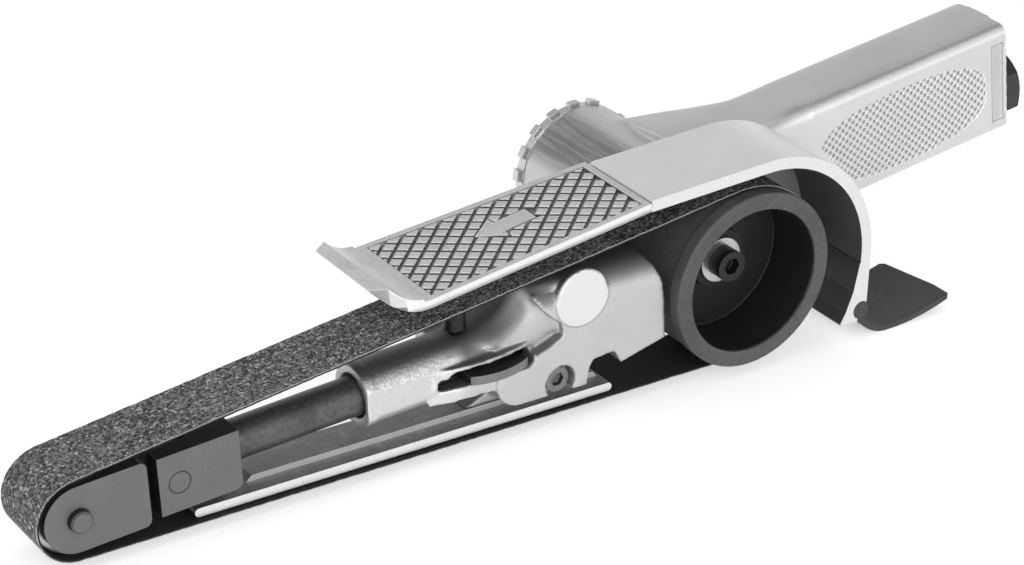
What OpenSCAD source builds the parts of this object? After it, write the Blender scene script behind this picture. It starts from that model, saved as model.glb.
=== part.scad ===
// Pneumatic belt sander with a 20 mm wide abrasive belt, a side motor and a grip.
// X runs from the nose to the grip, Y from the belt side to the motor side, Z up.

/* [Belt] */
// belt width
belt_w = 20; // [10:1:30]
// belt thickness
belt_t = 0.8; // [0.5:0.1:1.5]
// distance between the wheel and roller axes
centre_d = 202.3; // [150:0.1:260]

/* [Wheel] */
// tread radius of the drive wheel
wheel_r = 25.3; // [20:0.1:32]
// how far the wheel's open face stands in front of the belt's mid-plane
wheel_front = 15; // [12:0.5:20]
// face ring width
ring_w = 4.6; // [3:0.1:7]
// radius of the motor shaft
shaft_r = 4; // [3:0.5:6]

/* [Nose] */
// roller radius
nose_r = 10.8; // [8:0.1:14]
// half width over the fork plates
fork_y = 9.5; // [8:0.1:11]
// fork plate thickness
fork_t = 2.5; // [1.5:0.1:3]
// half height of the fork plates
fork_h = 9.3; // [7:0.1:10]
// axle and cross pin radius
pin_r = 3; // [2:0.1:4]

/* [Arm] */
// rod radius
rod_r = 5.4; // [4:0.1:7]
// rod stroke against the spring
stroke = 3; // [2:0.5:4]
// sleeve outer radius
sleeve_r = 8.6; // [7:0.1:11]
// near side of the arm casting
arm_near = 11.8; // [11:0.1:14]

/* [Platen] */
// platen bar thickness
platen_t = 2.5; // [2:0.1:4]
// platen bar length
platen_l = 127.5; // [100:0.5:160]

/* [Guard] */
// hood outer radius
hood_r = 37; // [34:0.5:45]
// hood wall
hood_t = 3.4; // [2:0.1:5]
// hood edge on the belt side
guard_near = 14; // [12:0.5:18]
// hood edge on the motor side
guard_far = 17; // [15:0.5:20]

/* [Top plate] */
// plate length in front of the hood
plate_l = 70.8; // [50:0.2:90]
// plate thickness
plate_t = 2.4; // [2:0.1:4]
// plate slope
plate_tilt = 8.5; // [0:0.05:12]

/* [Motor] */
// housing radius
motor_r = 20; // [18:0.5:26]
// housing end, measured from the belt's mid-plane
motor_end = 69; // [60:0.5:80]
// cap tooth count
cap_teeth = 18; // [12:1:24]

/* [Grip] */
// grip height
grip_h = 34.6; // [28:0.1:42]
// grip width
grip_w = 25.4; // [20:0.1:36]
// end of the grip, measured along it
grip_end = 119.9; // [100:0.1:140]
// slope of the grip
grip_tilt = 8.4; // [0:0.1:15]

/* [Fits] */
// radial running clearance
run = 0.05; // [0.01:0.01:0.1]
// gap between parts that don't touch
gap = 0.3; // [0.2:0.05:0.6]

/* [Hidden] */
$fn = 72;
eps = 0.02;

// angle between the arm and the level lower run
arm_tilt = asin((wheel_r - nose_r) / centre_d);
nose_x = -centre_d * cos(arm_tilt);
nose_z = -centre_d * sin(arm_tilt);
belt_in = wheel_r + run;
run_low = -belt_in - belt_t;
// upper run, outer side, at a given x
belt_slope = tan(2 * arm_tilt);
belt_top_z = (belt_in + belt_t) / cos(2 * arm_tilt);
function belt_z(x) = belt_top_z + x * belt_slope;

// nose
roller_w = fork_y - fork_t - 0.4;
axle_front = fork_y + 2;
tongue_u = 12.4;
fork_end = 19.2;
block_u0 = 22;
block_u1 = 45;
block_h = 8.3;
block_pin_u = 27.7;
tongue_y = 4;
bearing_r = 7.5;

// arm, measured along the rod from the roller axis
sleeve_u = 83;
rod_shoulder = 121;
washer_t = 1.2;
tail_r = 2.4;
spring_u1 = 137;
crank_u = 140;
crank_t = 3;
tail_end = crank_u + crank_t + 1.5;
pivot_u = 114.95;
pivot_y = 0;
slot_w = -0.5;
slot_u0 = 107.1;
slot_l = 25;
slot_r = 2.2;
lever_w = -0.85;
lever_t = 2.5;
lever_c = [6.75, 5.9];
lever_r = 19;
cam_r = 4.6;
knob_w = 9.75;
rim_y = -rod_r - gap;
window_u1 = 133.2;
shelf_u = 119.5;
shelf_w = 3.2;
shelf_r = 50;
shelf_y = -10.6;
sleeve_flat = -7.9;
bore_r = rod_r + run;
tail_bore = tail_r + run;

// arm casting, in the part's own x and z
frame_far = guard_far - 4;
boss_x = -55.3;
boss_z = 8.3;
boss_r = 8.3;
lobe_x = -74;
lobe_z = -11.3;
lobe_r = 7.6;
foot_z = lobe_z - lobe_r;
track_x = -61.2;
track_z = -15.6;
track_rec = 4.7;
arm_low_x = -37;
arm_low_z = -4;

// platen
platen_z0 = run_low + belt_t + 0.5;
platen_z1 = platen_z0 + platen_t;
step_h = 1.65;
step_y0 = -3.6;
step_y1 = 5;
pad_z = platen_z1 + step_h + 0.02;
platen_y0 = -8.6;
platen_y1 = 9.6;
platen_x1 = -42.2;
platen_x0 = platen_x1 - platen_l;
platen_hole_1 = -77;
platen_hole_2 = -69;

// guard
hood_x = 5.3;
hood_z = -2.3;
hood_tilt = 3.05;
hood_joint = -35.6;
wall_y = guard_far - 4;
hood_far = guard_far - 2.8;
hood_low = -23.8;
bead_x = 40.5;
bead_z = -20.2;
bead_r = 2.7;
screw_ring = 14;

// flap arcs
flap_t = 1.6;
flap_w0 = -guard_near;
flap_w1 = wall_y - 0.2;
flap_low = -29.4;
flap_x = 51;
flap_r1 = 12.2;
flap_r2 = 63;
flap_end = 21.2;

// top plate, measured on its near edge
plate_x = hood_joint - gap;
plate_z = 31.7;
plate_far_rear = 16.6;
plate_far_front = 21.5;
lip_r = 10;
plate_screw_z = 18.4;
function plate_under(x) = plate_z - (plate_x - x) * tan(plate_tilt) - plate_t + 0.4;

// motor
front_wall = guard_far + 7;
front_plate_y = front_wall;
liner_y0 = front_plate_y + 8;
liner_y1 = liner_y0 + 26;
rear_plate_y1 = liner_y1 + 8;
inner_r = 16.5;
rotor_r = 11.4;
bore_ecc = 1.3;
cap_y1 = motor_end + 3.3;
cap_r = motor_r - 0.1;
tooth_r = motor_r + 1.1;
tooth_w = 3.5;
fb_r = 11;
rb_r = 9.5;
rear_shaft_r = 3;
hub_y0 = 1.5;
hub_y1 = 10.8;

// grip, in its own frame
grip_z = 6;
grip_y0 = guard_far + 0.3;
grip_yc = grip_y0 + grip_w / 2;
half_h = grip_h / 2;
valve_s = 70;
inlet_w = -8.3;
inlet_hex = 9.9;
inlet_end_r = 9.2;
chan_top = -10.6;
chan_w = 15;
chan_s0 = 43;
chan_s1 = 98;
lever_s = 48;
lever_pin_w = -14;
seat_w = -1;
chamber_r = 5.5;
chamber_top = 11.5;
bush_y1 = grip_end + 7.6;
crown_r = 90;
crown_w = half_h - 0.3;

// whole part
x_min = nose_x - nose_r - belt_t - run;
x_max = bush_y1 * cos(grip_tilt) - (inlet_w - inlet_end_r) * sin(grip_tilt);
y_min = -wheel_front;
y_max = cap_y1;
z_min = flap_low;

module place() {
  translate([-(x_min + x_max) / 2, -(y_min + y_max) / 2, -z_min]) children();
}

// cylinder along Y
module ycyl(x, z, y0, y1, r) {
  translate([x, y0, z]) rotate([-90, 0, 0]) cylinder(h = y1 - y0, r = r);
}

// cone along Y
module ycone(x, z, y0, y1, r0, r1) {
  translate([x, y0, z]) rotate([-90, 0, 0]) cylinder(h = y1 - y0, r1 = r0, r2 = r1);
}

// flat outline in x and z, from y0 to y1
module slab(y0, y1) {
  translate([0, y1, 0]) rotate([90, 0, 0]) linear_extrude(height = y1 - y0) children();
}

// turned profile in radius and y, about the wheel axis
module spun() {
  rotate([-90, 0, 0]) rotate_extrude() children();
}

// arm frame: u along the rod to the rear, origin on the roller axis
module arm() {
  translate([nose_x, 0, nose_z]) rotate([0, -arm_tilt, 0]) children();
}

module ucyl(u0, u1, r, y = 0, w = 0) {
  translate([u0, y, w]) rotate([0, 90, 0]) cylinder(h = u1 - u0, r = r);
}

module box(a, b) {
  translate(a) cube([b[0] - a[0], b[1] - a[1], b[2] - a[2]]);
}

// grip frame: s along the grip to the rear
module grip() {
  translate([0, 0, grip_z]) rotate([0, -grip_tilt, 0]) children();
}

// hex socket screw along Y with its head towards -Y
module cap_screw(x, z, y_head, y_end, head_r, head_h, r) {
  difference() {
    union() {
      ycyl(x, z, y_head, y_head + head_h, head_r);
      ycyl(x, z, y_head + head_h - eps, y_end, r);
    }
    translate([x, y_head - 1, z]) rotate([-90, 0, 0])
      cylinder(h = head_h * 0.6 + 1, r = head_r * 0.58, $fn = 6);
  }
}

// unbroken spring tube along z, closed with caps
coil_step = 8;
coil_side = 6;
function coil_point(i, a, r, t, wire, n, len) =
  let (
    phi = 360 * i / coil_step,
    pitch = (len - wire) / (n * 360),
    z = wire / 2 + pitch * phi,
    rr = r + wire / 2 * cos(a)
  )
  [rr * cos(phi + t), rr * sin(phi + t), z + wire / 2 * sin(a)];

module coil(r, wire, n, len) {
  rings = n * coil_step;
  pts = [
    for (i = [0 : rings], k = [0 : coil_side - 1])
      coil_point(i, 360 * k / coil_side, r, 0, wire, n, len)
  ];
  side = [
    for (i = [0 : rings - 1], k = [0 : coil_side - 1])
      let (
        a = i * coil_side + k,
        b = i * coil_side + (k + 1) % coil_side
      )
      each [[a, b, a + coil_side], [b, b + coil_side, a + coil_side]]
  ];
  cap0 = [for (k = [1 : coil_side - 2]) [0, k + 1, k]];
  top = rings * coil_side;
  cap1 = [for (k = [1 : coil_side - 2]) [top, top + k, top + k + 1]];
  polyhedron(points = pts, faces = concat(side, cap0, cap1));
}

// fixed body: motor side

module tunnel(r) {
  ycyl(0, 0, front_wall, motor_end + 1, r);
}

// big round that crowns the top of the grip and its neck
module crown() {
  translate([0, grip_yc, crown_w - crown_r]) rotate([0, 90, 0])
    cylinder(h = 200, r = crown_r, $fn = 360);
}

module grip_bar() {
  rt = [3.5, 6.5];
  y = [grip_y0, grip_y0 + grip_w];
  rotate([90, 0, 90]) linear_extrude(height = grip_end) union() {
    translate([y[0] + rt[0], -half_h]) square([grip_w - rt[0] - rt[1], grip_h]);
    translate([y[0], -half_h + 1.2]) square([grip_w, grip_h - 1.2 - rt[1] - 0.6]);
    translate([y[0] + 1.2, -half_h]) square([grip_w - 2.4, 10]);
    for (i = [0, 1])
      translate([y[0] + 1.2 + i * (grip_w - 2.4), -half_h + 1.2]) circle(r = 1.2);
    translate([y[0] + rt[0], half_h - rt[0] - 0.6]) circle(r = rt[0]);
    translate([y[1] - rt[1], half_h - rt[1] - 0.6]) circle(r = rt[1]);
    translate([y[0], 0]) square([4, half_h - rt[0] - 0.6]);
  }
}

module neck() {
  y1 = grip_y0 + grip_w;
  translate([0, 0, -half_h + 1]) linear_extrude(height = grip_h)
    polygon([
      [6, grip_y0 + 4], [6, 58], [9, 57], [15.5, 51.4], [22, 46.8], [29, 43.8],
      [35, y1 - 0.1], [35, grip_y0 + 4]
    ]);
}

// rounds the neck's far upper edge towards the grip
module neck_round() {
  r = 5;
  translate([20, 49.4, crown_w - 1.1]) rotate([0, 0, -25.2]) difference() {
    box([0, -r, -r], [18, 3, 3]);
    translate([-1, -r, -r]) rotate([0, 90, 0]) cylinder(h = 20, r = r);
  }
}

module motor_housing() {
  color("silver") difference() {
    union() {
      ycyl(0, 0, guard_far, motor_end, motor_r);
      grip() intersection() {
        union() {
          difference() {
            grip_bar();
            box([-1, 0, -half_h - 1], [8, 80, half_h + 1]);
          }
          difference() {
            neck();
            neck_round();
          }
        }
        crown();
      }
    }
    // motor tunnel and shaft hole
    tunnel(inner_r);
    ycyl(0, 0, guard_far - 1, front_wall + 1, shaft_r + 1.2);
    for (a = [90, 210, 330])
      ycyl(screw_ring * cos(a), screw_ring * sin(a), guard_far - 1, guard_far + 5.5, 2);
    grip() {
      // inlet bore, feed and valve chamber
      translate([101, grip_yc, inlet_w]) rotate([0, 90, 0])
        cylinder(h = grip_end - 100, r = 6.6);
      translate([valve_s, grip_yc, seat_w + 3.5]) rotate([0, 90, 0])
        cylinder(h = 102 - valve_s, r = 2.6);
      translate([100, grip_yc, inlet_w]) cylinder(h = seat_w + 3.5 - inlet_w, r = 2.6);
      translate([98.5, grip_yc, inlet_w]) rotate([0, 90, 0]) cylinder(h = 4, r = 2.6);
      translate([valve_s, grip_yc, chan_top - 1])
        cylinder(h = chamber_top - chan_top + 1, r = chamber_r);
      translate([10, grip_yc, seat_w - 3.6]) rotate([0, 90, 0])
        cylinder(h = valve_s - 11, r = 2.4);
      // lever channel and pin hole
      box([chan_s0, grip_yc - chan_w / 2, -half_h - 1],
        [chan_s1, grip_yc + chan_w / 2, chan_top]);
      translate([lever_s, grip_y0 + 4, lever_pin_w]) rotate([-90, 0, 0])
        cylinder(h = grip_w - 8, r = 1.5);
      // shallow oblong panel near the end
      for (w = [-11.6, 9.4])
        translate([grip_end - 4, grip_y0 - 1, w]) rotate([-90, 0, 0])
          cylinder(h = 1.5, r = 2.4);
      box([grip_end - 6.4, grip_y0 - 1, -11.6], [grip_end - 1.6, grip_y0 + 0.5, 9.4]);
    }
  }
}

module motor_cap() {
  color("silver") difference() {
    union() {
      ycyl(0, 0, rear_plate_y1 + 0.05, motor_end + 0.1, inner_r - run);
      ycyl(0, 0, motor_end + 0.05, cap_y1, cap_r);
      intersection() {
        ycyl(0, 0, motor_end + 0.05, cap_y1, tooth_r);
        for (i = [0 : cap_teeth - 1])
          rotate([0, -14 + 360 * i / cap_teeth, 0])
            box([0, motor_end + 1, -tooth_w / 2], [tooth_r + 2, cap_y1 + 1, tooth_w / 2]);
      }
    }
    for (i = [0 : cap_teeth - 1])
      rotate([0, -14 + 360 * i / cap_teeth, 0])
        box([motor_r - 0.7, motor_end - 1, -tooth_w / 2],
          [tooth_r + 2, motor_end + 1, tooth_w / 2]);
    ycyl(0, 0, motor_end - 5, motor_end + 1.2, inner_r - 3);
    for (i = [0 : 7])
      rotate([0, 45 * i, 0]) ycyl(9, 0, motor_end, cap_y1 + 1, 1.8);
  }
}

module silencer_disc() {
  color("dimgray") ycyl(0, 0, motor_end - 2.2, motor_end + 1.15, inner_r - 3.2);
}

module rear_plate() {
  color("gray") difference() {
    ycyl(0, 0, liner_y1, rear_plate_y1, inner_r - run);
    ycyl(0, 0, liner_y1 + 2, rear_plate_y1 + 1, rb_r);
    ycyl(0, 0, liner_y1 - 1, rear_plate_y1, rear_shaft_r + 0.6);
    for (a = [20, 160]) ycyl(13 * cos(a), 13 * sin(a), liner_y1 - 1, rear_plate_y1 + 1, 1.5);
  }
}

module front_plate() {
  color("gray") difference() {
    ycyl(0, 0, front_plate_y, liner_y0, inner_r - run);
    ycyl(0, 0, front_plate_y - 1, liner_y0 - 1, fb_r);
    ycyl(0, 0, front_plate_y, liner_y0 + 1, shaft_r + 0.6);
  }
}

module cylinder_liner() {
  color("lightgray") difference() {
    ycyl(0, 0, liner_y0, liner_y1, inner_r - run);
    ycyl(0, -bore_ecc, liner_y0 - 1, liner_y1 + 1, rotor_r + bore_ecc + 0.1);
    ycyl(0, inner_r, liner_y0 + 8, liner_y0 + 18, 4.6);
    for (b = [-5, 5]) ycyl(b, -inner_r + 0.8, liner_y0 + 6, liner_y1 - 6, 2.2);
  }
}

module rotor() {
  color("slategray") difference() {
    union() {
      ycyl(0, 0, hub_y0 + 0.3, liner_y0 + 0.5, shaft_r);
      ycyl(0, 0, liner_y0 + 0.15, liner_y1 - 0.15, rotor_r);
      ycyl(0, 0, liner_y1 - 0.5, rear_plate_y1 - 1.5, rear_shaft_r);
    }
    ycyl(0, 0, 0, 15, 2.12);
    for (i = [0 : 4])
      rotate([0, 72 * i, 0])
        box([6, liner_y0, -0.8], [rotor_r + 1, liner_y1, 0.8]);
  }
}

module rotor_vanes() {
  color("saddlebrown")
    for (i = [0 : 4])
      rotate([0, 72 * i, 0])
        box([6.3, liner_y0 + 0.4, -0.75], [rotor_r - 0.1, liner_y1 - 0.4, 0.75]);
}

module ring_bearing(y0, y1, ro, ri) {
  difference() {
    ycyl(0, 0, y0, y1, ro);
    ycyl(0, 0, y0 - 1, y1 + 1, ri);
    for (e = [[y0 - 1, y0 + 0.5], [y1 - 0.5, y1 + 1]])
      difference() {
        ycyl(0, 0, e[0], e[1], ro - 1.6);
        ycyl(0, 0, e[0] - 1, e[1] + 1, ri + 1.6);
      }
  }
}

module front_bearing() {
  color("gainsboro")
    ring_bearing(liner_y0 - 8 + 0.02, liner_y0 - 1, fb_r, shaft_r + run);
}

module rear_bearing() {
  color("gainsboro") ring_bearing(liner_y1 + 2, rear_plate_y1, rb_r, rear_shaft_r + run);
}

// turning body: wheel on the motor shaft

module drive_wheel() {
  rim = wheel_r + 0.5 - ring_w;
  color("black") spun() difference() {
    polygon([
      [shaft_r + 0.02, hub_y0], [8.5, hub_y0], [9, 3.6], [rim, 3.6],
      [rim, -wheel_front + 0.8], [rim + 1.8, -wheel_front + 0.8],
      [rim + 1.8, hub_y1], [rim - 2, hub_y1], [rim - 3, 7.5], [10, 7.5],
      [9, hub_y1], [shaft_r + 0.02, hub_y1]
    ]);
  }
}

module wheel_tyre() {
  rim = wheel_r + 0.5 - ring_w;
  color("dimgray") spun() polygon([
    [rim, -wheel_front], [wheel_r + 0.1, -wheel_front],
    [wheel_r + 0.5, -wheel_front + 0.4], [wheel_r + 0.5, -belt_w / 2 - 1],
    [wheel_r, -belt_w / 2 - 0.4], [wheel_r, hub_y1 - 0.2],
    [wheel_r - 0.2, hub_y1], [rim + 1.8, hub_y1],
    [rim + 1.8, -wheel_front + 0.8], [rim, -wheel_front + 0.8]
  ]);
}

module wheel_washer() {
  color("silver") difference() {
    ycyl(0, 0, 0, hub_y0, 6.6);
    ycyl(0, 0, -1, hub_y0 + 1, 2.7);
  }
}

module wheel_bolt() {
  color("black") cap_screw(0, 0, -5, 13.5, 4.5, 5, 2.1);
}

// fixed body: guard, plate and flap

module hood_outline(r, low) {
  a = 90 + hood_tilt;
  top = [hood_x + r * cos(a), hood_z + r * sin(a)];
  union() {
    translate([hood_x, hood_z]) circle(r = r);
    polygon([
      top, [hood_joint, top[1] - (top[0] - hood_joint) * tan(hood_tilt)],
      [hood_joint, -70], [hood_x + r, -70], [hood_x + r, hood_z], [hood_x, hood_z]
    ]);
  }
}

module guard() {
  color("silver") difference() {
    union() {
      // hood wall
      difference() {
        slab(-guard_near, hood_far) intersection() {
          hood_outline(hood_r);
          translate([hood_joint, hood_low]) square([120, 80]);
        }
        slab(-guard_near - 1, guard_far + 1) intersection() {
          hood_outline(hood_r - hood_t);
          translate([hood_joint - 1, hood_low - 10]) square([120, 90]);
        }
      }
      // thick lower end that holds the flap's bead
      slab(-guard_near, wall_y + 0.1) intersection() {
        hood_outline(hood_r);
        polygon([
          [hood_x + hood_r + 1, -4], [hood_x + hood_r - hood_t - 0.2, -5], [37.1, -13.8],
          [34.9, -19.8], [33.2, -23], [33.9, hood_low], [hood_x + hood_r + 1, hood_low]
        ]);
      }
      // back wall behind the wheel, with its arm seat
      slab(wall_y, guard_far) intersection() {
        hood_outline(hood_r - 2.2);
        union() {
          circle(r = 24);
          polygon([
            [hood_joint + 0.5, 32], [hood_joint + 0.5, 10], [0, -24],
            [20, -13.2], [39, -12], [50, 0], [50, 40], [0, 40]
          ]);
        }
      }
      slab(wall_y, guard_far) polygon([
        [-66, -14], [-66, 19], [-64, 21], [-41, 21], [hood_joint + 1, 28],
        [0, 20], [0, -20], [-16, -17.8], [-28, -14]
      ]);
    }
    // shaft hole, fixing screws and arm screws
    ycyl(0, 0, wall_y - 1, guard_far + 1, shaft_r + 1.6);
    for (a = [90, 210, 330]) {
      ycyl(screw_ring * cos(a), screw_ring * sin(a), wall_y - 1, guard_far + 1, 2.1);
      ycone(screw_ring * cos(a), screw_ring * sin(a), wall_y - eps, wall_y + 2, 4.1, 2.1);
    }
    ycyl(boss_x, boss_z, wall_y - 1, guard_far + 1, 2.7);
    ycyl(arm_low_x, arm_low_z, wall_y - 1, guard_far + 1, 2.7);
    for (x = [-60, -45]) ycyl(x, plate_screw_z, wall_y - 1, guard_far + 1, 1.7);
    // groove for the bead and the mouth it opens through
    ycyl(bead_x, bead_z, -guard_near - 1, wall_y + 1, bead_r + 0.05);
    slab(-guard_near - 1, wall_y + 1) polygon([
      [bead_x - 1, bead_z], [bead_x + 6, bead_z + 2.6], [bead_x + 6, hood_low - 4],
      [bead_x - 1.2, hood_low - 4]
    ]);
  }
}

module guard_screws() {
  color("gray") for (a = [90, 210, 330]) difference() {
    union() {
      ycone(screw_ring * cos(a), screw_ring * sin(a), wall_y, wall_y + 2, 4, 2);
      ycyl(screw_ring * cos(a), screw_ring * sin(a), wall_y + 1.9, guard_far + 5.3, 1.98);
    }
    translate([screw_ring * cos(a), wall_y - 1, screw_ring * sin(a)]) rotate([-90, 0, 0])
      cylinder(h = 2.6, r = 1.4, $fn = 6);
  }
}

// plan outline of the top plate
module plate_plan(inset, front) {
  polygon([
    [plate_x - inset, -guard_near + inset],
    [plate_x - inset, plate_far_rear - inset],
    [plate_x - plate_l + front, plate_far_front - inset - front * 0.06],
    [plate_x - plate_l + front, -guard_near + inset]
  ]);
}

module plate_frame() {
  translate([plate_x, 0, plate_z]) rotate([0, -plate_tilt, 0]) translate([-plate_x, 0, 0])
    children();
}

// side outline of the plate with its upturned lip
module plate_profile() {
  x1 = plate_x - plate_l;
  a = 58;
  union() {
    translate([x1, -plate_t]) square([plate_l, plate_t]);
    difference() {
      translate([x1, lip_r]) circle(r = lip_r + plate_t);
      translate([x1 + 0.6 * (plate_t - 1), lip_r + 0.8 * (plate_t - 1)]) circle(r = lip_r + 0.4);
      translate([x1, -40]) square([90, 90]);
      polygon([
        [x1, lip_r], [x1 - 60 * sin(a), lip_r - 60 * cos(a)], [x1 - 60, 60], [x1, 60]
      ]);
    }
  }
}

module top_plate() {
  x1 = plate_x - plate_l;
  color("silver") union() {
    plate_frame() {
      difference() {
        intersection() {
          slab(-guard_near, plate_far_front + 2) plate_profile();
          translate([0, 0, -5]) linear_extrude(height = 20) polygon([
            [plate_x, -guard_near], [plate_x, plate_far_rear], [x1, plate_far_front],
            [x1 - 14, plate_far_front + 0.8], [x1 - 11, -1], [x1 - 9.8, -5.6],
            [x1 - 7.6, -9.6], [x1 - 4.4, -12.4], [x1 - 1, -13.6], [x1 + 2, -guard_near]
          ]);
        }
        translate([0, 0, -1]) linear_extrude(height = 3) plate_plan(1.8, 3);
      }
      // raised arrow that shows which way the belt runs
      translate([0, 0, -1.2]) linear_extrude(height = 1.1) polygon([
        [-79.5, 4.6], [-72.2, 9.6], [-72, 7.2], [-62, 7.4], [-62, 1.8], [-72, 1.6], [-72.4, -0.8]
      ]);
    }
    // flange down the far side, screwed to the guard
    difference() {
      slab(wall_y - 2.8, wall_y) polygon([
        [-64, 14.9], [-64, plate_under(-64)], [-41, plate_under(-41)], [-41, 14.9]
      ]);
      for (x = [-60, -45]) ycyl(x, plate_screw_z, wall_y - 4, wall_y + 1, 1.6);
    }
  }
}

module plate_screws() {
  y1 = guard_far;
  color("gray") for (x = [-60, -45]) difference() {
    union() {
      ycyl(x, plate_screw_z, y1, y1 + 1.8, 2.7);
      ycyl(x, plate_screw_z, wall_y - 2.6, y1 + 0.1, 1.55);
    }
    translate([x, y1 + 0.8, plate_screw_z]) rotate([-90, 0, 0])
      cylinder(h = 2, r = 1.2, $fn = 6);
  }
}

module ring_sector(c, r, t, a0, a1) {
  translate(c) intersection() {
    difference() {
      circle(r = r + t / 2);
      circle(r = r - t / 2);
    }
    polygon(concat([[0, 0]], [for (i = [0 : 4])
      2 * r * [cos(a0 + (a1 - a0) * i / 4), sin(a0 + (a1 - a0) * i / 4)]]));
  }
}

module rubber_flap() {
  c = [flap_x, flap_low + flap_t / 2];
  color("dimgray") intersection() {
    slab(flap_w0, flap_w1) union() {
      translate([bead_x, bead_z]) circle(r = bead_r - 0.05);
      ring_sector([c[0], c[1] + flap_r1], flap_r1, flap_t, 203, 270);
      ring_sector([c[0], c[1] + flap_r2], flap_r2, flap_t, 269.9, 270 + flap_end);
    }
    // the free edge runs a little askew, with rounded corners
    translate([0, 0, -40]) linear_extrude(height = 30) polygon([
      [30, flap_w0 - 1], [72.6, flap_w0 - 1], [73.6, flap_w0 + 0.3], [74.1, flap_w0 + 1.6],
      [71.2, flap_w1 - 1.4], [70.4, flap_w1 - 0.3], [69, flap_w1 + 1], [30, flap_w1 + 1]
    ]);
  }
}

// fixed body: arm casting and platen

module frame_section() {
  // rounded upper near corner, in y and z
  rotate([90, 0, 90]) translate([0, 0, -110]) linear_extrude(height = 90) union() {
    translate([-arm_near, -30]) square([arm_near + frame_far, 35.5]);
    translate([-arm_near + 9, 5.5]) circle(r = 9);
    translate([-arm_near + 9, 0]) square([arm_near - 9 + frame_far, 14.5]);
  }
}

module frame_outline() {
  union() {
    polygon([
      [-27, -11.4], [-27.9, 0.8], [-28.9, 6], [-31, 10.8], [-33.5, 13.8], [-37, 16.5],
      [-71.8, 16.5], [-71.5, 13.8], [-70.3, 11], [-67.9, 7.6], [-65, 4.5], [-61.5, 2],
      [-61, -1.5], [-65, -3.6], [-68.6, -4.8], [-71, -6.6],
      [-76, -8.9], [lobe_x - lobe_r * cos(12), lobe_z + lobe_r * sin(12)],
      [lobe_x, lobe_z], [lobe_x, foot_z], [-52.6, foot_z], [-51.8, -13.8], [-50.9, -11.9],
      [-46.2, -11.3], [-43.8, -11.2], [-42, -14.3], [-41.6, -15.2]
    ]);
    translate([lobe_x, lobe_z]) circle(r = lobe_r);
  }
}

// the lever's frame: its origin on the pivot
module lever_frame() {
  translate([pivot_u, pivot_y, slot_w]) children();
}

module arm_frame() {
  color("silver") difference() {
    union() {
      arm() {
        ucyl(sleeve_u, window_u1 + 12, sleeve_r);
        ucyl(sleeve_u, sleeve_u + 3, sleeve_r + 0.25);
        // boss round the lever's window, with a flat shelf on top
        intersection() {
          translate([shelf_u, shelf_y + shelf_r, -7]) cylinder(h = 7 + shelf_w, r = shelf_r, $fn = 240);
          box([shelf_u - 18, shelf_y - 1, -8], [shelf_u + 24, 0, 8]);
        }
      }
      intersection() {
        slab(-arm_near, frame_far) frame_outline();
        frame_section();
      }
      ycyl(boss_x, boss_z, -arm_near, 2, boss_r);
      // hollow slope that leads from the sleeve up to the block
      for (k = [[0, -4.6], [2.6, -7], [4.6, -8.8]])
        slab(k[1], 6) polygon([
          [-58, 14.4], [-72 + k[0], 14.4], [-72.8 + k[0], 12.2 - k[0] / 2],
          [-74.6 + k[0], 9.2 - k[0] / 2], [-77.2 + k[0], 6.5 - k[0] / 2],
          [-80.6 + k[0], 4.4 - k[0] / 2], [-84.8 + k[0], 2.9 - k[0] / 2],
          [-88 + k[0], 2.1 - k[0] / 2], [-84 + k[0], -3], [-66, -4], [-58, -1]
        ]);
      // far flank that carries the sleeve
      slab(0, frame_far) polygon([
        [-66, -17], [-66, 12], [-80, 3], [-92, -1], [-92, -9], [-84, -14], [-78, -16.4]
      ]);
      // foot pad under the sleeve
      slab(step_y0, step_y1) polygon([
        [-86.6, pad_z], [-85, pad_z + 0.9], [-78.9, -16.4], [-77.2, -15.3], [-70, -9],
        [-52, -9], [-52, pad_z]
      ]);
    }
    arm() {
      // rod bore, mouth, tail bore and crank pocket
      ucyl(sleeve_u - 1, spring_u1, bore_r);
      ucyl(sleeve_u - 1, sleeve_u + 2.4, rod_r + 0.8);
      ucyl(spring_u1 - 1, tail_end + stroke + 0.6, tail_bore);
      box([crank_u - 0.5, -4.2, -13], [crank_u + crank_t + stroke + 0.5, 4.2, 4]);
      // machined flat on the near side of the sleeve
      box([sleeve_u - 1, -12, -5], [sleeve_u + 16.6, sleeve_flat, 5]);
      translate([sleeve_u + 16.6, -12, 0]) rotate([-90, 0, 0])
        cylinder(h = 12 + sleeve_flat, r = 3.5);
      // lever window, rounded at both ends, and the hole for the pivot
      lever_frame() {
        for (u = [slot_u0 + slot_r, slot_u0 + slot_l - slot_r])
          translate([u - pivot_u, -arm_near - pivot_y, 0]) rotate([-90, 0, 0])
            cylinder(h = arm_near - 2, r = slot_r);
        box([slot_u0 + slot_r - pivot_u, -arm_near - pivot_y, -slot_r],
          [slot_u0 + slot_l - slot_r - pivot_u, -3, slot_r]);
        // room inside for the lever's tip as it swings
        box([-10.8, -9.75, lever_w - lever_t / 2 - 0.25], [0, -3, lever_w + lever_t / 2 + 0.25]);
        translate([0, 0, -7.2]) cylinder(h = 20, r = 1.4 + run);
      }
    }
    // tracking screw: recess and thread
    ycyl(track_x, track_z, -arm_near - 1, -7.2, track_rec);
    ycyl(track_x, track_z, -8, -1.5, 2.05);
    // arm screws from the motor side
    ycyl(boss_x, boss_z, frame_far - 9, frame_far + 1, 2.5);
    ycyl(arm_low_x, arm_low_z, frame_far - 9, frame_far + 1, 2.5);
    // platen screws from below
    for (x = [platen_hole_1, platen_hole_2])
      translate([x, 0.7, pad_z - 1]) cylinder(h = 7, r = 1.5);
  }
}

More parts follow.
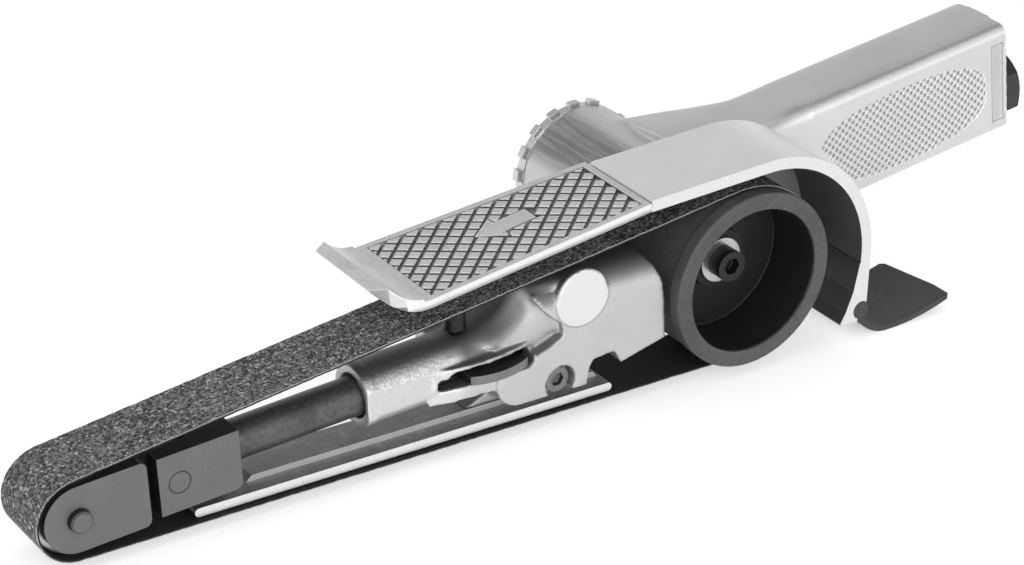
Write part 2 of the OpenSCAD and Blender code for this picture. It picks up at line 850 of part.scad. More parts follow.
module arm_screws() {
  y0 = guard_far;
  color("gray") for (p = [[boss_x, boss_z], [arm_low_x, arm_low_z]]) difference() {
    union() {
      ycyl(p[0], p[1], y0, y0 + 3.4, 4.2);
      ycyl(p[0], p[1], frame_far - 8.6, y0 + 0.1, 2.45);
    }
    translate([p[0], y0 + 1.4, p[1]]) rotate([-90, 0, 0]) cylinder(h = 4, r = 2.3, $fn = 6);
  }
}

module tracking_screw() {
  color("gray") cap_screw(track_x, track_z, -9.8, -2.5, 3.6, 2.5, 2);
}

module platen() {
  x_step = -152.5;
  r = platen_t / 2;
  color("silver") difference() {
    union() {
      // bar with rounded ends
      slab(platen_y0, platen_y1) union() {
        translate([platen_x0 + r, platen_z0]) square([platen_l - platen_t, platen_t]);
        for (x = [platen_x0 + r, platen_x1 - r]) translate([x, platen_z0 + r]) circle(r = r);
      }
      // raised step that the foot stands on
      slab(step_y0, step_y1) polygon([
        [x_step, platen_z1 - 0.1], [x_step + 1.8, platen_z1 + step_h],
        [platen_x1 - 3, platen_z1 + step_h], [platen_x1 - 1.5, platen_z1 - 0.1]
      ]);
    }
    for (x = [platen_hole_1, platen_hole_2]) {
      translate([x, 0.7, platen_z0 - 1]) cylinder(h = 10, r = 1.7);
      translate([x, 0.7, platen_z0 - eps]) cylinder(h = 1.8, r1 = 3.3, r2 = 1.6);
    }
  }
}

module platen_screws() {
  color("gray") for (x = [platen_hole_1, platen_hole_2]) difference() {
    union() {
      translate([x, 0.7, platen_z0 + 0.05]) cylinder(h = 1.7, r1 = 3.15, r2 = 1.47);
      translate([x, 0.7, platen_z0 + 1]) cylinder(h = pad_z + 5.2 - platen_z0 - 1, r = 1.45);
    }
    translate([x, 0.7, platen_z0 - 1]) cylinder(h = 2.2, r = 1.1, $fn = 6);
  }
}

// sliding body: rod and its crank

module tension_rod() {
  color("dimgray") arm() difference() {
    union() {
      ucyl(36.2, rod_shoulder, rod_r);
      ucyl(rod_shoulder - 0.1, tail_end, tail_r);
    }
    // slot for the lever's pivot, and the notch that the lever and its cam work in
    box([pivot_u - stroke - 1.7, -1.6, -rod_r - 1], [pivot_u + 1.7, 1.6, rod_r + 1]);
    translate([pivot_u, 0, slot_w + lever_w - lever_t / 2 - 0.3]) {
      box([-10.6 - stroke, -rod_r - 1, 0], [3, 2.55, lever_t + 0.6]);
      box([-2 - stroke, 2.5, 0], [1.5, rod_r + 1, lever_t + 0.6]);
      box([2.9, -rod_r - 1, 0], [6.5, -3.6, lever_t + 0.6]);
    }
    ucyl(36, 37, 2);
  }
}

module tracking_crank() {
  color("gray") arm() difference() {
    union() {
      ucyl(crank_u, crank_u + crank_t, 3.8);
      box([crank_u, -2, -12.6], [crank_u + crank_t, 2, 0]);
    }
    ucyl(crank_u - 1, crank_u + crank_t + 1, tail_r + 0.02);
  }
}

module spring_washer() {
  color("gainsboro") arm() difference() {
    ucyl(rod_shoulder + 0.02, rod_shoulder + washer_t, rod_r - 0.1);
    ucyl(rod_shoulder - 1, rod_shoulder + washer_t + 1, tail_r + run);
  }
}

module tension_spring() {
  u0 = rod_shoulder + washer_t + 0.1;
  color("gainsboro") arm() translate([u0, 0, 0]) rotate([0, 90, 0])
    coil(4.1, 1.3, 6, spring_u1 - u0 - 0.1);
}

module rod_block() {
  color("gray") arm() difference() {
    box([block_u0, -fork_y, -block_h + 0.1], [block_u1, fork_y, block_h + 0.3]);
    box([block_u0 - 1, -tongue_y - 0.1, -block_h - 1],
      [block_u0 + 11, tongue_y + 0.1, block_h + 1]);
    ucyl(36, block_u1 + 1, rod_r + 0.02);
    translate([block_pin_u, -fork_y - 1, 0]) rotate([-90, 0, 0])
      cylinder(h = 2 * fork_y + 2, r = pin_r + 0.02);
    // chamfer below, clear of the platen
    translate([block_u1, -fork_y - 1, -block_h]) rotate([-90, 45, 0])
      translate([-1, -1, 0]) cube([2, 2, 2 * fork_y + 2]);
  }
}

module block_pin() {
  color("gray") arm() translate([block_pin_u, -fork_y, 0]) rotate([-90, 0, 0])
    cylinder(h = 2 * fork_y, r = pin_r);
}

module fork_tongue() {
  inner = fork_y - fork_t;
  color("black") arm() difference() {
    union() {
      box([tongue_u, -inner, -fork_h + 1], [fork_end - 0.4, inner, fork_h - 1]);
      box([fork_end - 0.5, -tongue_y, -6.4], [block_u0 + 10.4, tongue_y, 6.4]);
    }
    translate([block_pin_u, -tongue_y - 1, 0]) rotate([-90, 0, 0])
      cylinder(h = 2 * tongue_y + 2, r = pin_r + 0.02);
  }
}

module fork_plate_outline() {
  r = 2;
  union() {
    circle(r = fork_h);
    translate([0, -fork_h]) square([fork_end - r, 2 * fork_h]);
    translate([fork_end - r - 0.1, -fork_h + r]) square([r + 0.1, 2 * (fork_h - r)]);
    for (b = [-1, 1]) translate([fork_end - r, b * (fork_h - r)]) circle(r = r);
  }
}

module fork_plates() {
  color("gray") arm() for (m = [-fork_y, fork_y - fork_t]) difference() {
    slab(m, m + fork_t) fork_plate_outline();
    ycyl(0, 0, m - 1, m + fork_t + 1, pin_r + 0.02);
  }
}

module roller_axle() {
  color("gray") arm() difference() {
    ycyl(0, 0, -axle_front, axle_front, pin_r);
    for (b = [-1, 1]) translate([0, b * axle_front, 0]) rotate([90, 0, 0])
      difference() {
        cylinder(h = 0.8, r = pin_r + 1, center = true);
        cylinder(h = 2, r1 = pin_r - 0.4, r2 = pin_r - 0.4, center = true);
      }
  }
}

// turning body: nose roller

module nose_roller() {
  color("gray") arm() spun() polygon([
    [4.2, -1.5], [bearing_r, -1.5], [bearing_r, -roller_w], [nose_r - 0.2, -roller_w],
    [nose_r, -3], [nose_r, 3], [nose_r - 0.2, roller_w], [bearing_r, roller_w],
    [bearing_r, 1.5], [4.2, 1.5]
  ]);
}

module roller_bearings() {
  color("gainsboro") arm() for (b = [-roller_w + 0.1, 1.5])
    ring_bearing(b, b + roller_w - 1.6, bearing_r, pin_r + run);
}

// outline of a loop round both wheels, in steps of about two degrees
module belt_loop(r_big, r_small) {
  n = 90;
  a = 90 + arm_tilt;
  polygon(concat(
    [for (i = [0 : n]) [centre_d + r_big * cos(a * (2 * i / n - 1)), r_big * sin(a * (2 * i / n - 1))]],
    [for (i = [0 : n]) [r_small * cos(a + (360 - 2 * a) * i / n), r_small * sin(a + (360 - 2 * a) * i / n)]]
  ));
}

module abrasive_belt() {
  color("dimgray") arm() slab(-belt_w / 2, belt_w / 2) difference() {
    belt_loop(belt_in + belt_t, nose_r + run + belt_t);
    belt_loop(belt_in, nose_r + run);
  }
}

// lever body: belt release

module release_lever() {
  color("gray") arm() lever_frame() translate([0, 0, lever_w - lever_t / 2]) difference() {
    union() {
      cylinder(h = lever_t, r = 2.5);
      // finger rim, a crescent that stands a little out of the window
      intersection() {
        translate([lever_c[0], lever_c[1], 0]) cylinder(h = lever_t, r = lever_r);
        linear_extrude(height = lever_t) polygon([
          [-2.3, -2], [-2.4, -14], [15.3, -14], [15.3, -9], [13.5, rim_y - 0.5], [4.4, rim_y],
          [2.4, -4], [2.4, 0]
        ]);
      }
      // cam that draws the rod back
      rotate([0, 0, 80]) linear_extrude(height = lever_t) polygon([
        [0, -0.9], [cam_r - 0.5, -0.8], [cam_r, -0.3], [cam_r, 0.3], [cam_r - 0.5, 0.8], [0, 0.9]
      ]);
    }
    translate([0, 0, -1]) cylinder(h = 5, r = 1.4 + 0.02);
  }
}

module lever_pivot() {
  color("black") arm() lever_frame() union() {
    translate([0, 0, -7]) cylinder(h = knob_w + 7.1, r = 1.4);
    translate([0, 0, knob_w]) cylinder(h = 5.6, r = 3);
  }
}

// throttle

module throttle_lever() {
  y0 = grip_yc - 6.4;
  y1 = grip_yc + 6.4;
  color("gray") grip() difference() {
    union() {
      slab(y0, y1) polygon([
        [lever_s - 3, -18.6], [lever_s + 8, -17.6], [chan_s1 - 6, -17.6], [chan_s1 - 2.5, -17.6],
        [chan_s1 - 1.4, -17.6], [chan_s1 - 5, -20.1], [lever_s + 8, -20.1], [lever_s - 2, -20.4]
      ]);
      for (m = [y0, y1 - 2]) slab(m, m + 2) union() {
        translate([lever_s, lever_pin_w]) circle(r = 2.9);
        polygon([
          [lever_s - 2.9, lever_pin_w], [lever_s - 3, -18.8], [lever_s + 8, -17.8],
          [lever_s + 2.9, lever_pin_w]
        ]);
      }
    }
    translate([lever_s, y0 - 1, lever_pin_w]) rotate([-90, 0, 0])
      cylinder(h = y1 - y0 + 2, r = 1.5 + run);
  }
}

module throttle_pin() {
  color("gray") grip() translate([lever_s, grip_y0 + 4, lever_pin_w]) rotate([-90, 0, 0])
    cylinder(h = grip_w - 8, r = 1.48);
}

module push_pin() {
  color("gainsboro") grip() translate([valve_s, grip_yc, 0]) union() {
    translate([0, 0, -17.1]) cylinder(h = 17.1 + seat_w - 0.05, r = 1.5);
    translate([0, 0, -17.2]) cylinder(h = 1.4, r = 2.4);
  }
}

module valve_bushing() {
  color("goldenrod") grip() translate([valve_s, grip_yc, 0]) difference() {
    translate([0, 0, chan_top]) cylinder(h = seat_w - chan_top, r = chamber_r - 0.02);
    translate([0, 0, chan_top - 1]) cylinder(h = 20, r = 1.5 + run);
    translate([0, 0, seat_w - 4.6]) cylinder(h = 8, r = 3);
    translate([-chamber_r - 1, 0, seat_w - 3.1]) rotate([0, 90, 0])
      cylinder(h = chamber_r + 1, r = 1.6);
  }
}

module valve_head() {
  color("gainsboro") grip() translate([valve_s, grip_yc, seat_w + 0.05]) union() {
    cylinder(h = 2, r = 4.4);
    cylinder(h = 4.5, r = 2);
  }
}

module valve_spring() {
  z0 = seat_w + 2.25;
  color("gainsboro") grip() translate([valve_s, grip_yc, z0])
    coil(3.2, 0.7, 5, chamber_top - z0 - 0.2);
}

module inlet_bushing() {
  hex_r = inlet_hex / cos(30);
  color("black") grip() translate([0, grip_yc, inlet_w]) rotate([0, 90, 0]) difference() {
    union() {
      translate([0, 0, 102.5]) cylinder(h = grip_end - 102.3, r = 6.58);
      intersection() {
        translate([0, 0, grip_end + 0.02]) cylinder(h = bush_y1 - grip_end - 0.02, r = hex_r, $fn = 6);
        translate([0, 0, grip_end - 10]) cylinder(h = bush_y1 - grip_end + 10,
          r1 = inlet_end_r + (bush_y1 - grip_end + 10) * tan(60), r2 = inlet_end_r);
      }
    }
    translate([0, 0, 102]) cylinder(h = 40, r = 3.6);
    translate([0, 0, bush_y1 - 14]) cylinder(h = 16, r = 5.6);
  }
}

place() {
  motor_housing();
  motor_cap();
  silencer_disc();
  rear_plate();
  front_plate();
  cylinder_liner();
  rotor();
  rotor_vanes();
  front_bearing();
  rear_bearing();
  drive_wheel();
  wheel_tyre();
  wheel_washer();
  wheel_bolt();
  guard();
  guard_screws();
  top_plate();
  plate_screws();
  rubber_flap();
  arm_frame();
  arm_screws();
  platen();
  platen_screws();
  tracking_screw();
  tracking_crank();
  release_lever();
  lever_pivot();
  tension_rod();
  spring_washer();
  tension_spring();
  rod_block();
  block_pin();
  fork_tongue();
  fork_plates();
  roller_axle();
  nose_roller();
  roller_bearings();
  abrasive_belt();
  throttle_lever();
  throttle_pin();
  push_pin();
  valve_bushing();
  valve_head();
  valve_spring();
  inlet_bushing();
}
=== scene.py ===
"""Looks for an air-driven belt sander: finishes, abrasive belt, grip plate, stage and camera."""

import math

import bmesh
import bpy
from mathutils import Matrix, Vector, noise


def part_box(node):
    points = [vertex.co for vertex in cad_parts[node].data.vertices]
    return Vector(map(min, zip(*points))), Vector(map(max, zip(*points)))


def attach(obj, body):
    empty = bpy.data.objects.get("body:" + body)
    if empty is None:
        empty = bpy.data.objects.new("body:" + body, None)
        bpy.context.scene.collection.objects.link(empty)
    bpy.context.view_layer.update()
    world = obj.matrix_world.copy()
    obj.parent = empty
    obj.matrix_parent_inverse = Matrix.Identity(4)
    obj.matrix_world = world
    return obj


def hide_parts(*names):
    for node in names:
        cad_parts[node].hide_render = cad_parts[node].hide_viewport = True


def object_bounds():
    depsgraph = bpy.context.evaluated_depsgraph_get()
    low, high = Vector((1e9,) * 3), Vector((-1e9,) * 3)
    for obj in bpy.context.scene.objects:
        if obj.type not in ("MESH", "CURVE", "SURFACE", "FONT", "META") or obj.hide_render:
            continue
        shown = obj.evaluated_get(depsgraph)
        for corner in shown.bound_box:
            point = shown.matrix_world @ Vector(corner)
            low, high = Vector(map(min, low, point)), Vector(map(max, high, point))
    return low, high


bl_info = {
    "name": "Air belt sander looks",
    "version": (1, 0, 0),
    "blender": (4, 5, 0),
    "location": "View3D > Sidebar > Sander",
    "description": "Dresses the belt sander's solids with cast, machined, rubber and abrasive "
                   "finishes",
    "category": "Object",
}

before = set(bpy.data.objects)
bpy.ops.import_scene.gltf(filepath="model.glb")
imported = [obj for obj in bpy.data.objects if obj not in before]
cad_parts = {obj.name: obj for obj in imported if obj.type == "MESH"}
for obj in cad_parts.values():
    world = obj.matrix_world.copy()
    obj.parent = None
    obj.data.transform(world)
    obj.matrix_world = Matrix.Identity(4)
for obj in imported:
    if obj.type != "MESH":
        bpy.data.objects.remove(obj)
CAD_BOX = [list(corner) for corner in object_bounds()]
MM = 0.001
TURN = 2 * math.pi
# places in millimetres from the drive wheel's centre
BOSS, BOSS_RADIUS = (-55.3, 0, 8.3), 8.3
GRIP_ORIGIN, GRIP_TILT = (0, 0, 6), math.radians(8.4)
PLATE_JOINT, PLATE_TILT = (-35.9, 0, 31.7), math.radians(8.5)


def wheel_centre():
    """The drive wheel's centre at the middle of the belt, in metres."""
    low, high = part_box("wheel_tyre")
    return Vector(((low.x + high.x) / 2, low.y + 0.015, (low.z + high.z) / 2))


CENTRE = wheel_centre()


def at(x, y, z):
    """A point given in millimetres from the drive wheel's centre."""
    return CENTRE + Vector((x, y, z)) * MM


# Sizes and colours


def length(name, description, value):
    """A length property with its default in metres."""
    return bpy.props.FloatProperty(name=name, description=description, default=value, unit="LENGTH")


def tint(name, description, red, green, blue):
    """A colour property."""
    return bpy.props.FloatVectorProperty(
        name=name, description=description, subtype="COLOR", size=3, min=0, max=1,
        default=(red, green, blue))


def grey(name, description, level):
    """A grey with a trace of blue."""
    return tint(name, description, level, level * 1.003, level * 1.01)


class SanderSizes(bpy.types.PropertyGroup):
    """Sizes that the finishes and the added pieces are built from."""

    belt_width: length("Belt width", "Width of the abrasive belt", 0.020)
    belt_thickness: length("Belt thickness", "Cloth and grain together", 0.00072)
    belt_fray: length("Belt fray", "How far the torn edge wanders inwards", 0.00028)
    wheel_radius: length("Wheel radius", "Radius that the belt runs on at the drive wheel", 0.02535)
    nose_radius: length("Nose radius", "Radius that the belt runs on at the nose", 0.01093)
    centre_distance: length("Centre distance", "From the drive wheel to the nose roller", 0.2023)
    pad_share: bpy.props.FloatProperty(
        name="Pad share", description="Share of the pitch that a raised pad takes",
        default=0.73, subtype="FACTOR", min=0.3, max=0.95)
    pad_height: length("Pad height", "Height of the grip plate's pads over the grooves", 0.00092)
    cast_voxel: length("Casting detail", "Cell size that the castings are rounded at", 0.0006)
    pit_depth: length("Pit depth", "Depth of the grip's moulded pits", 0.00035)
    edge_round: length("Edge rounding", "Radius of the rounding seen on machined edges", 0.00035)


class SanderColours(bpy.types.PropertyGroup):
    """Base colours of the finishes."""

    cast: grey("Cast aluminium", "Motor housing and grip", 0.66)
    satin: grey("Satin aluminium", "Arm casting, tumbled bright", 0.56)
    pressed: grey("Pressed aluminium", "Guard and grip plate", 0.86)
    steel: grey("Machined steel", "Screws, pins and shafts", 0.5)
    fork: grey("Fork paint", "Flat grey of the fork and rod block", 0.155)
    black: grey("Blackened steel", "Oxide black parts", 0.018)
    rod: grey("Rod", "Dark tension rod", 0.11)
    rubber: grey("Rubber", "Flap and tyre", 0.045)
    grain: grey("Abrasive grain", "Dark mineral grain of the belt", 0.06)
    cloth: grey("Belt cloth", "Back of the belt", 0.02)
    bronze: tint("Sintered bronze", "Silencer disc", 0.38, 0.22, 0.1)
    brass: tint("Brass", "Valve bushing", 0.6, 0.42, 0.16)
    resin: tint("Vane resin", "Rotor vanes", 0.16, 0.09, 0.045)


# Shader maths


class Wire:
    """A node's socket that Python's operators turn into Math nodes."""

    def __init__(self, graph, socket):
        self.graph = graph
        self.socket = socket

    def _maths(self, operation, *values):
        sockets = dict(enumerate(values))
        return self.graph.node("ShaderNodeMath", {"operation": operation}, sockets)[0]

    def __add__(self, other):
        return self._maths("ADD", self, other)

    def __radd__(self, other):
        return self._maths("ADD", other, self)

    def __sub__(self, other):
        return self._maths("SUBTRACT", self, other)

    def __rsub__(self, other):
        return self._maths("SUBTRACT", other, self)

    def __mul__(self, other):
        return self._maths("MULTIPLY", self, other)

    def __rmul__(self, other):
        return self._maths("MULTIPLY", other, self)

    def __truediv__(self, other):
        return self._maths("DIVIDE", self, other)

    def __pow__(self, other):
        return self._maths("POWER", self, other)

    def __abs__(self):
        return self._maths("ABSOLUTE", self)

    def cosine(self):
        return self._maths("COSINE", self)

    def at_least(self, other):
        return self._maths("MAXIMUM", self, other)

    def at_most(self, other):
        return self._maths("MINIMUM", self, other)

    def ramp(self, low, high):
        """0 below low, 1 above high and smooth between them; falls where low is the higher."""
        return self.graph.node(
            "ShaderNodeMapRange", {"interpolation_type": "SMOOTHSTEP"},
            {"Value": self, "From Min": low, "From Max": high, "To Min": 0.0, "To Max": 1.0})[0]


class Graph:
    """A node tree, built by asking for nodes and joining what they give."""

    def __init__(self, tree):
        self.tree = tree
        tree.nodes.clear()

    def put(self, socket, value):
        """Join a wire to a socket, or set the socket to a number, vector or colour."""
        if isinstance(value, Wire):
            self.tree.links.new(value.socket, socket)
        elif hasattr(socket.default_value, "__len__"):
            value = tuple(value)
            short = len(value) < len(socket.default_value)
            socket.default_value = value + (1.0,) if short else value
        else:
            socket.default_value = value

    def node(self, kind, settings=None, sockets=None):
        """A new node: its settings first, then its sockets. Returns what it gives, as wires."""
        made = self.tree.nodes.new(kind)
        for key, value in (settings or {}).items():
            setattr(made, key, value)
        for key, value in (sockets or {}).items():
            self.put(made.inputs[key], value)
        return [Wire(self, s) for s in made.outputs if s.enabled]

    def read(self, kind, *names):
        """What a new node gives under those names, as wires."""
        wires = {wire.socket.name: wire for wire in self.node(kind)}
        return [wires[name] for name in names]

    def rays(self):
        """Wires that are 1 for rays from the camera, mirrored rays and rays let through."""
        return self.read("ShaderNodeLightPath", "Is Camera Ray", "Is Glossy Ray",
                         "Is Transmission Ray")


class Paint(Graph):
    """One material with a Principled shader, and the patterns that feed it."""

    def __init__(self, name, **constants):
        self.material = bpy.data.materials.new(name + "_finish")
        self.material.use_nodes = True
        super().__init__(self.material.node_tree)
        surface = self.node("ShaderNodeBsdfPrincipled")[0]
        self.node("ShaderNodeOutputMaterial", None, {"Surface": surface})
        self.shader = surface.socket.node
        self.feed(**constants)
        self._place = None

    def feed(self, **sockets):
        """Set or join sockets of the shader, and return the material."""
        for key, value in sockets.items():
            self.put(self.shader.inputs[key.replace("_", " ")], value)
        return self.material

    @property
    def place(self):
        """Where a point of the surface is, in metres of the shared frame."""
        if self._place is None:
            self._place, = self.read("ShaderNodeTexCoord", "Object")
        return self._place

    @property
    def facing(self):
        """The surface's own direction."""
        return self.read("ShaderNodeNewGeometry", "True Normal")[0]

    @property
    def smooth_facing(self):
        """The direction that the surface is shaded in."""
        return self.read("ShaderNodeNewGeometry", "Normal")[0]

    def vector(self, operation, first, second):
        return self.node("ShaderNodeVectorMath", {"operation": operation}, {0: first, 1: second})[0]

    def along(self, direction, origin=(0, 0, 0), vector=None):
        """Distance along a direction from an origin, or a given vector's share of it."""
        if vector is None:
            vector = self.vector("SUBTRACT", self.place, tuple(origin))
        return self.vector("DOT_PRODUCT", vector, tuple(direction))

    def near_side(self, low, high):
        """1 on faces that look at the belt side and 0 on those that look elsewhere."""
        return (0 - self.along((0, 1, 0), vector=self.facing)).ramp(low, high)

    def off_axis(self, point):
        """Millimetres along X and Z from a line across the tool, and straight away from it."""
        dx, dz = self.along((1, 0, 0), point) / MM, self.along((0, 0, 1), point) / MM
        return dx, dz, (dx * dx + dz * dz) ** 0.5

    def stretch(self, factors):
        return self.vector("MULTIPLY", self.place, factors)

    def speckle(self, size, detail=3.0, rough=0.6, place=None):
        """Soft noise whose blotches are about that size in metres, 0 to 1."""
        return self.node("ShaderNodeTexNoise", None,
                         {"Vector": place or self.place, "Scale": 1 / size, "Detail": detail,
                          "Roughness": rough})[0]

    def cells(self, size):
        """Scattered points: the distance to the nearest, and its own random colour."""
        return self.node("ShaderNodeTexVoronoi", None,
                         {"Vector": self.place, "Scale": 1 / size, "Randomness": 1.0})[:2]

    def blend(self, mask, first, second):
        """Colour that goes from the first to the second as the mask goes from 0 to 1."""
        return self.node("ShaderNodeMix", {"data_type": "RGBA"},
                         {0: mask, 6: first, 7: second})[0]

    def mixed(self, mask, first, second):
        """Direction that goes from the first to the second as the mask goes from 0 to 1."""
        step = self.vector("SUBTRACT", second, first)
        part = self.node("ShaderNodeVectorMath", {"operation": "SCALE"},
                         {0: step, "Scale": mask})[0]
        return self.vector("ADD", first, part)

    def rounded(self, radius):
        """The surface's direction with its edges rounded."""
        return self.node("ShaderNodeBevel", {"samples": 4}, {"Radius": radius})[0]

    def edges(self, soft, gain=6.0):
        """1 where the rounded direction leaves the shaded one, along edges."""
        return ((1 - self.vector("DOT_PRODUCT", soft, self.smooth_facing)) * gain).at_most(1.0)

    def relief(self, height, depth, normal=None):
        sockets = {"Height": height, "Distance": depth}
        if normal is not None:
            sockets["Normal"] = normal
        return self.node("ShaderNodeBump", None, sockets)[0]


def scaled(colour, factor):
    return tuple(min(1.0, c * factor) for c in colour)


def metal(name, colour, rough=0.38, metallic=0.9, skin=0.0006, depth=0.00003, mottle=0.10,
          edge=1.25, radius=None, brushed=False, wear=0.0, grime=0.0, low=None, near=None,
          hollow=None):
    """Bare or finished metal: fine grain, cloudy patches, a painted edge highlight and a rounded
    rim.

    brushed draws the grain out across the tool, wear lightens some patches and grime darkens some.
    low is (point, direction, first, last): painted shade falls below a plane, between two depths.
    near scales the colour of the faces on the belt side, as painted light where it is above 1
    and painted shade below 1, and gives them a few dark specks.
    hollow is (point, depth): faces that look at a line across the tool, or lie beyond a depth,
    go dark and smooth.
    """
    sizes = bpy.context.scene.sander_sizes
    paint = Paint(name, Metallic=metallic, IOR=1.5)
    grain = paint.stretch((1, 0.04, 1)) if brushed else paint.place
    fine = paint.speckle(skin, 4.0, 0.65, grain)
    clouds = paint.speckle(0.011, 3.0, 0.55)
    soft = paint.rounded(radius or sizes.edge_round)
    rim = paint.edges(soft)
    tone = (fine * 0.6 + clouds * 0.4).ramp(0.25, 0.75)
    base = paint.blend(tone, scaled(colour, 1 - mottle), scaled(colour, 1 + mottle))
    if wear:
        scuffs = paint.speckle(0.0035, 5.0, 0.7).ramp(0.55, 0.72) * wear
        base = paint.blend(scuffs, base, scaled(colour, 1.7))
    if grime:
        dirt = paint.speckle(0.008, 5.0, 0.75).ramp(0.5, 0.7) * grime
        base = paint.blend(dirt, base, scaled(colour, 0.45))
    # painted highlight: edges lighter by the factor edge
    base = paint.blend(rim, base, scaled(colour, edge))
    if low:
        point, upward, first, last = low
        height = paint.along(upward, point) / MM
        # painted shade in the grooves below the plane
        base = paint.blend(height.ramp(first, last) * 0.78, base, scaled(colour, 0.16))
    if near:
        side = paint.near_side(0.8, 0.96)
        soft = paint.mixed(side, soft, paint.facing)
        # painted light on the belt side, and painted shade where near is below 1
        base = paint.blend(side, base, scaled(colour, near))
        if low:
            # painted shade: the belt side darker towards the bottom of its edge
            base = paint.blend(height.ramp(-0.9, -2.4) * side * 0.75, base, scaled(colour, 0.3))
        specks = paint.speckle(0.0012, 4.0, 0.8).ramp(0.6, 0.68) * side
        base = paint.blend(specks * 0.5, base, scaled(colour, 0.4))
    roughness = (rough + (fine - 0.5) * 0.22 + (clouds - 0.5) * 0.12 - rim * 0.08).at_least(0.08)
    if hollow:
        axis, wall_depth = hollow
        away = paint.vector("SUBTRACT", paint.place, tuple(axis))
        away = paint.vector("MULTIPLY", away, (1, 0, 1))
        outwards = paint.vector("DOT_PRODUCT", away, paint.facing) / MM
        wall = (paint.along((0, 1, 0), at(0, wall_depth, 0)) / MM).ramp(-0.6, -0.2)
        inside = outwards.ramp(-2.0, -8.0).at_least(wall * paint.near_side(0.5, 0.8))
        base = paint.blend(inside * 0.93, base, scaled(colour, 0.03))
        roughness = roughness * (1 - inside) + inside * 0.55
        fine = fine * (1 - inside)
    return paint.feed(Base_Color=base, Roughness=roughness,
                      Normal=paint.relief(fine, depth, soft))


def rubber(name, colour, grain=0.0009, depth=0.00002, rough=0.62):
    """Moulded rubber: faint bloom, a fine skin and a painted highlight along the edges."""
    sizes = bpy.context.scene.sander_sizes
    paint = Paint(name, Metallic=0.0, IOR=1.5, Specular_IOR_Level=0.35)
    fine = paint.speckle(grain, 3.0, 0.6)
    bloom = paint.speckle(0.014, 3.0, 0.6)
    soft = paint.rounded(sizes.edge_round)
    rim = paint.edges(soft, 4.0)
    tone = (fine * 0.4 + bloom * 0.6).ramp(0.3, 0.7)
    base = paint.blend(tone, scaled(colour, 0.8), scaled(colour, 1.3))
    # painted highlight along the edges
    base = paint.blend(rim * 0.6, base, scaled(colour, 2.6))
    return paint.feed(Base_Color=base, Roughness=rough + (bloom - 0.5) * 0.2,
                      Normal=paint.relief(fine, depth, soft))


def two_tone(name, side, other, rough=0.5, pins=(), shallow=None):
    """Finish whose faces on the tool's two sides are one colour and all other faces a second one.

    pins names nodes whose outlines are drawn as seams, and shallow is the depth in millimetres
    at which the first colour gives way to the second.
    """
    sizes = bpy.context.scene.sander_sizes
    paint = Paint(name, Metallic=0.35, IOR=1.5)
    across = abs(paint.along((0, 1, 0), vector=paint.facing)).ramp(0.72, 0.93)
    if shallow is not None:
        across = across * (paint.along((0, 1, 0), at(0, shallow, 0)) / MM).ramp(0.8, -0.2)
    fine = paint.speckle(0.0007, 4.0, 0.6)
    clouds = paint.speckle(0.007, 4.0, 0.6)
    soft = paint.rounded(sizes.edge_round)
    rim = paint.edges(soft)
    tone = (fine * 0.5 + clouds * 0.5).ramp(0.3, 0.7)
    first = paint.blend(tone, scaled(side, 0.9), scaled(side, 1.1))
    second = paint.blend(tone, scaled(other, 0.8), scaled(other, 1.4))
    base = paint.blend(across, second, first)
    # painted highlight along the edges
    base = paint.blend(rim * 0.5, base, scaled(side, 1.5))
    for node in pins:
        low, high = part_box(node)
        ring = abs(paint.off_axis((low + high) / 2)[2] - (high.z - low.z) / 2 / MM)
        base = paint.blend((0.26 - ring).ramp(0.0, 0.14) * across * 0.85, base, scaled(side, 0.12))
    return paint.feed(Base_Color=base, Roughness=rough + (fine - 0.5) * 0.25,
                      Normal=paint.relief(fine, 0.000015, soft))


def hood_inside():
    """The axis that the guard curves round, and the depth of its back wall."""
    return at(3, 0, 0), 13.4


def plate_groove_shade():
    """The plane of the grip plate's face, and the depths at which painted shade darkens its
    grooves.
    """
    return at(*PLATE_JOINT), (-math.sin(PLATE_TILT), 0, math.cos(PLATE_TILT)), -0.2, -0.55


def pit_pattern(s, w, ramp, cosine):
    """How far into one of the grip's pits a place lies, 0 to 1, from plain numbers or from wires.

    s runs along the grip and w across its near side, in millimetres. The pits fill an oval whose
    lower front is cut off along a slope.
    """
    oval = ramp(1 - ((abs(s - 80.2) / 31.6) ** 2.7 + (abs(w + 1.6) / 12.4) ** 2.7), 0.0, 0.06)
    cut = ramp((s - 49.6) * 0.762 + (w - 0.2) * 0.648, 0.0, 0.8)
    a, b = (s - 61.25) * (0.3906 * TURN), (w - 9.15) * (0.376 * TURN)
    return ramp(cosine(a - b) + cosine(a + b), -0.75, 1.1) * oval * cut


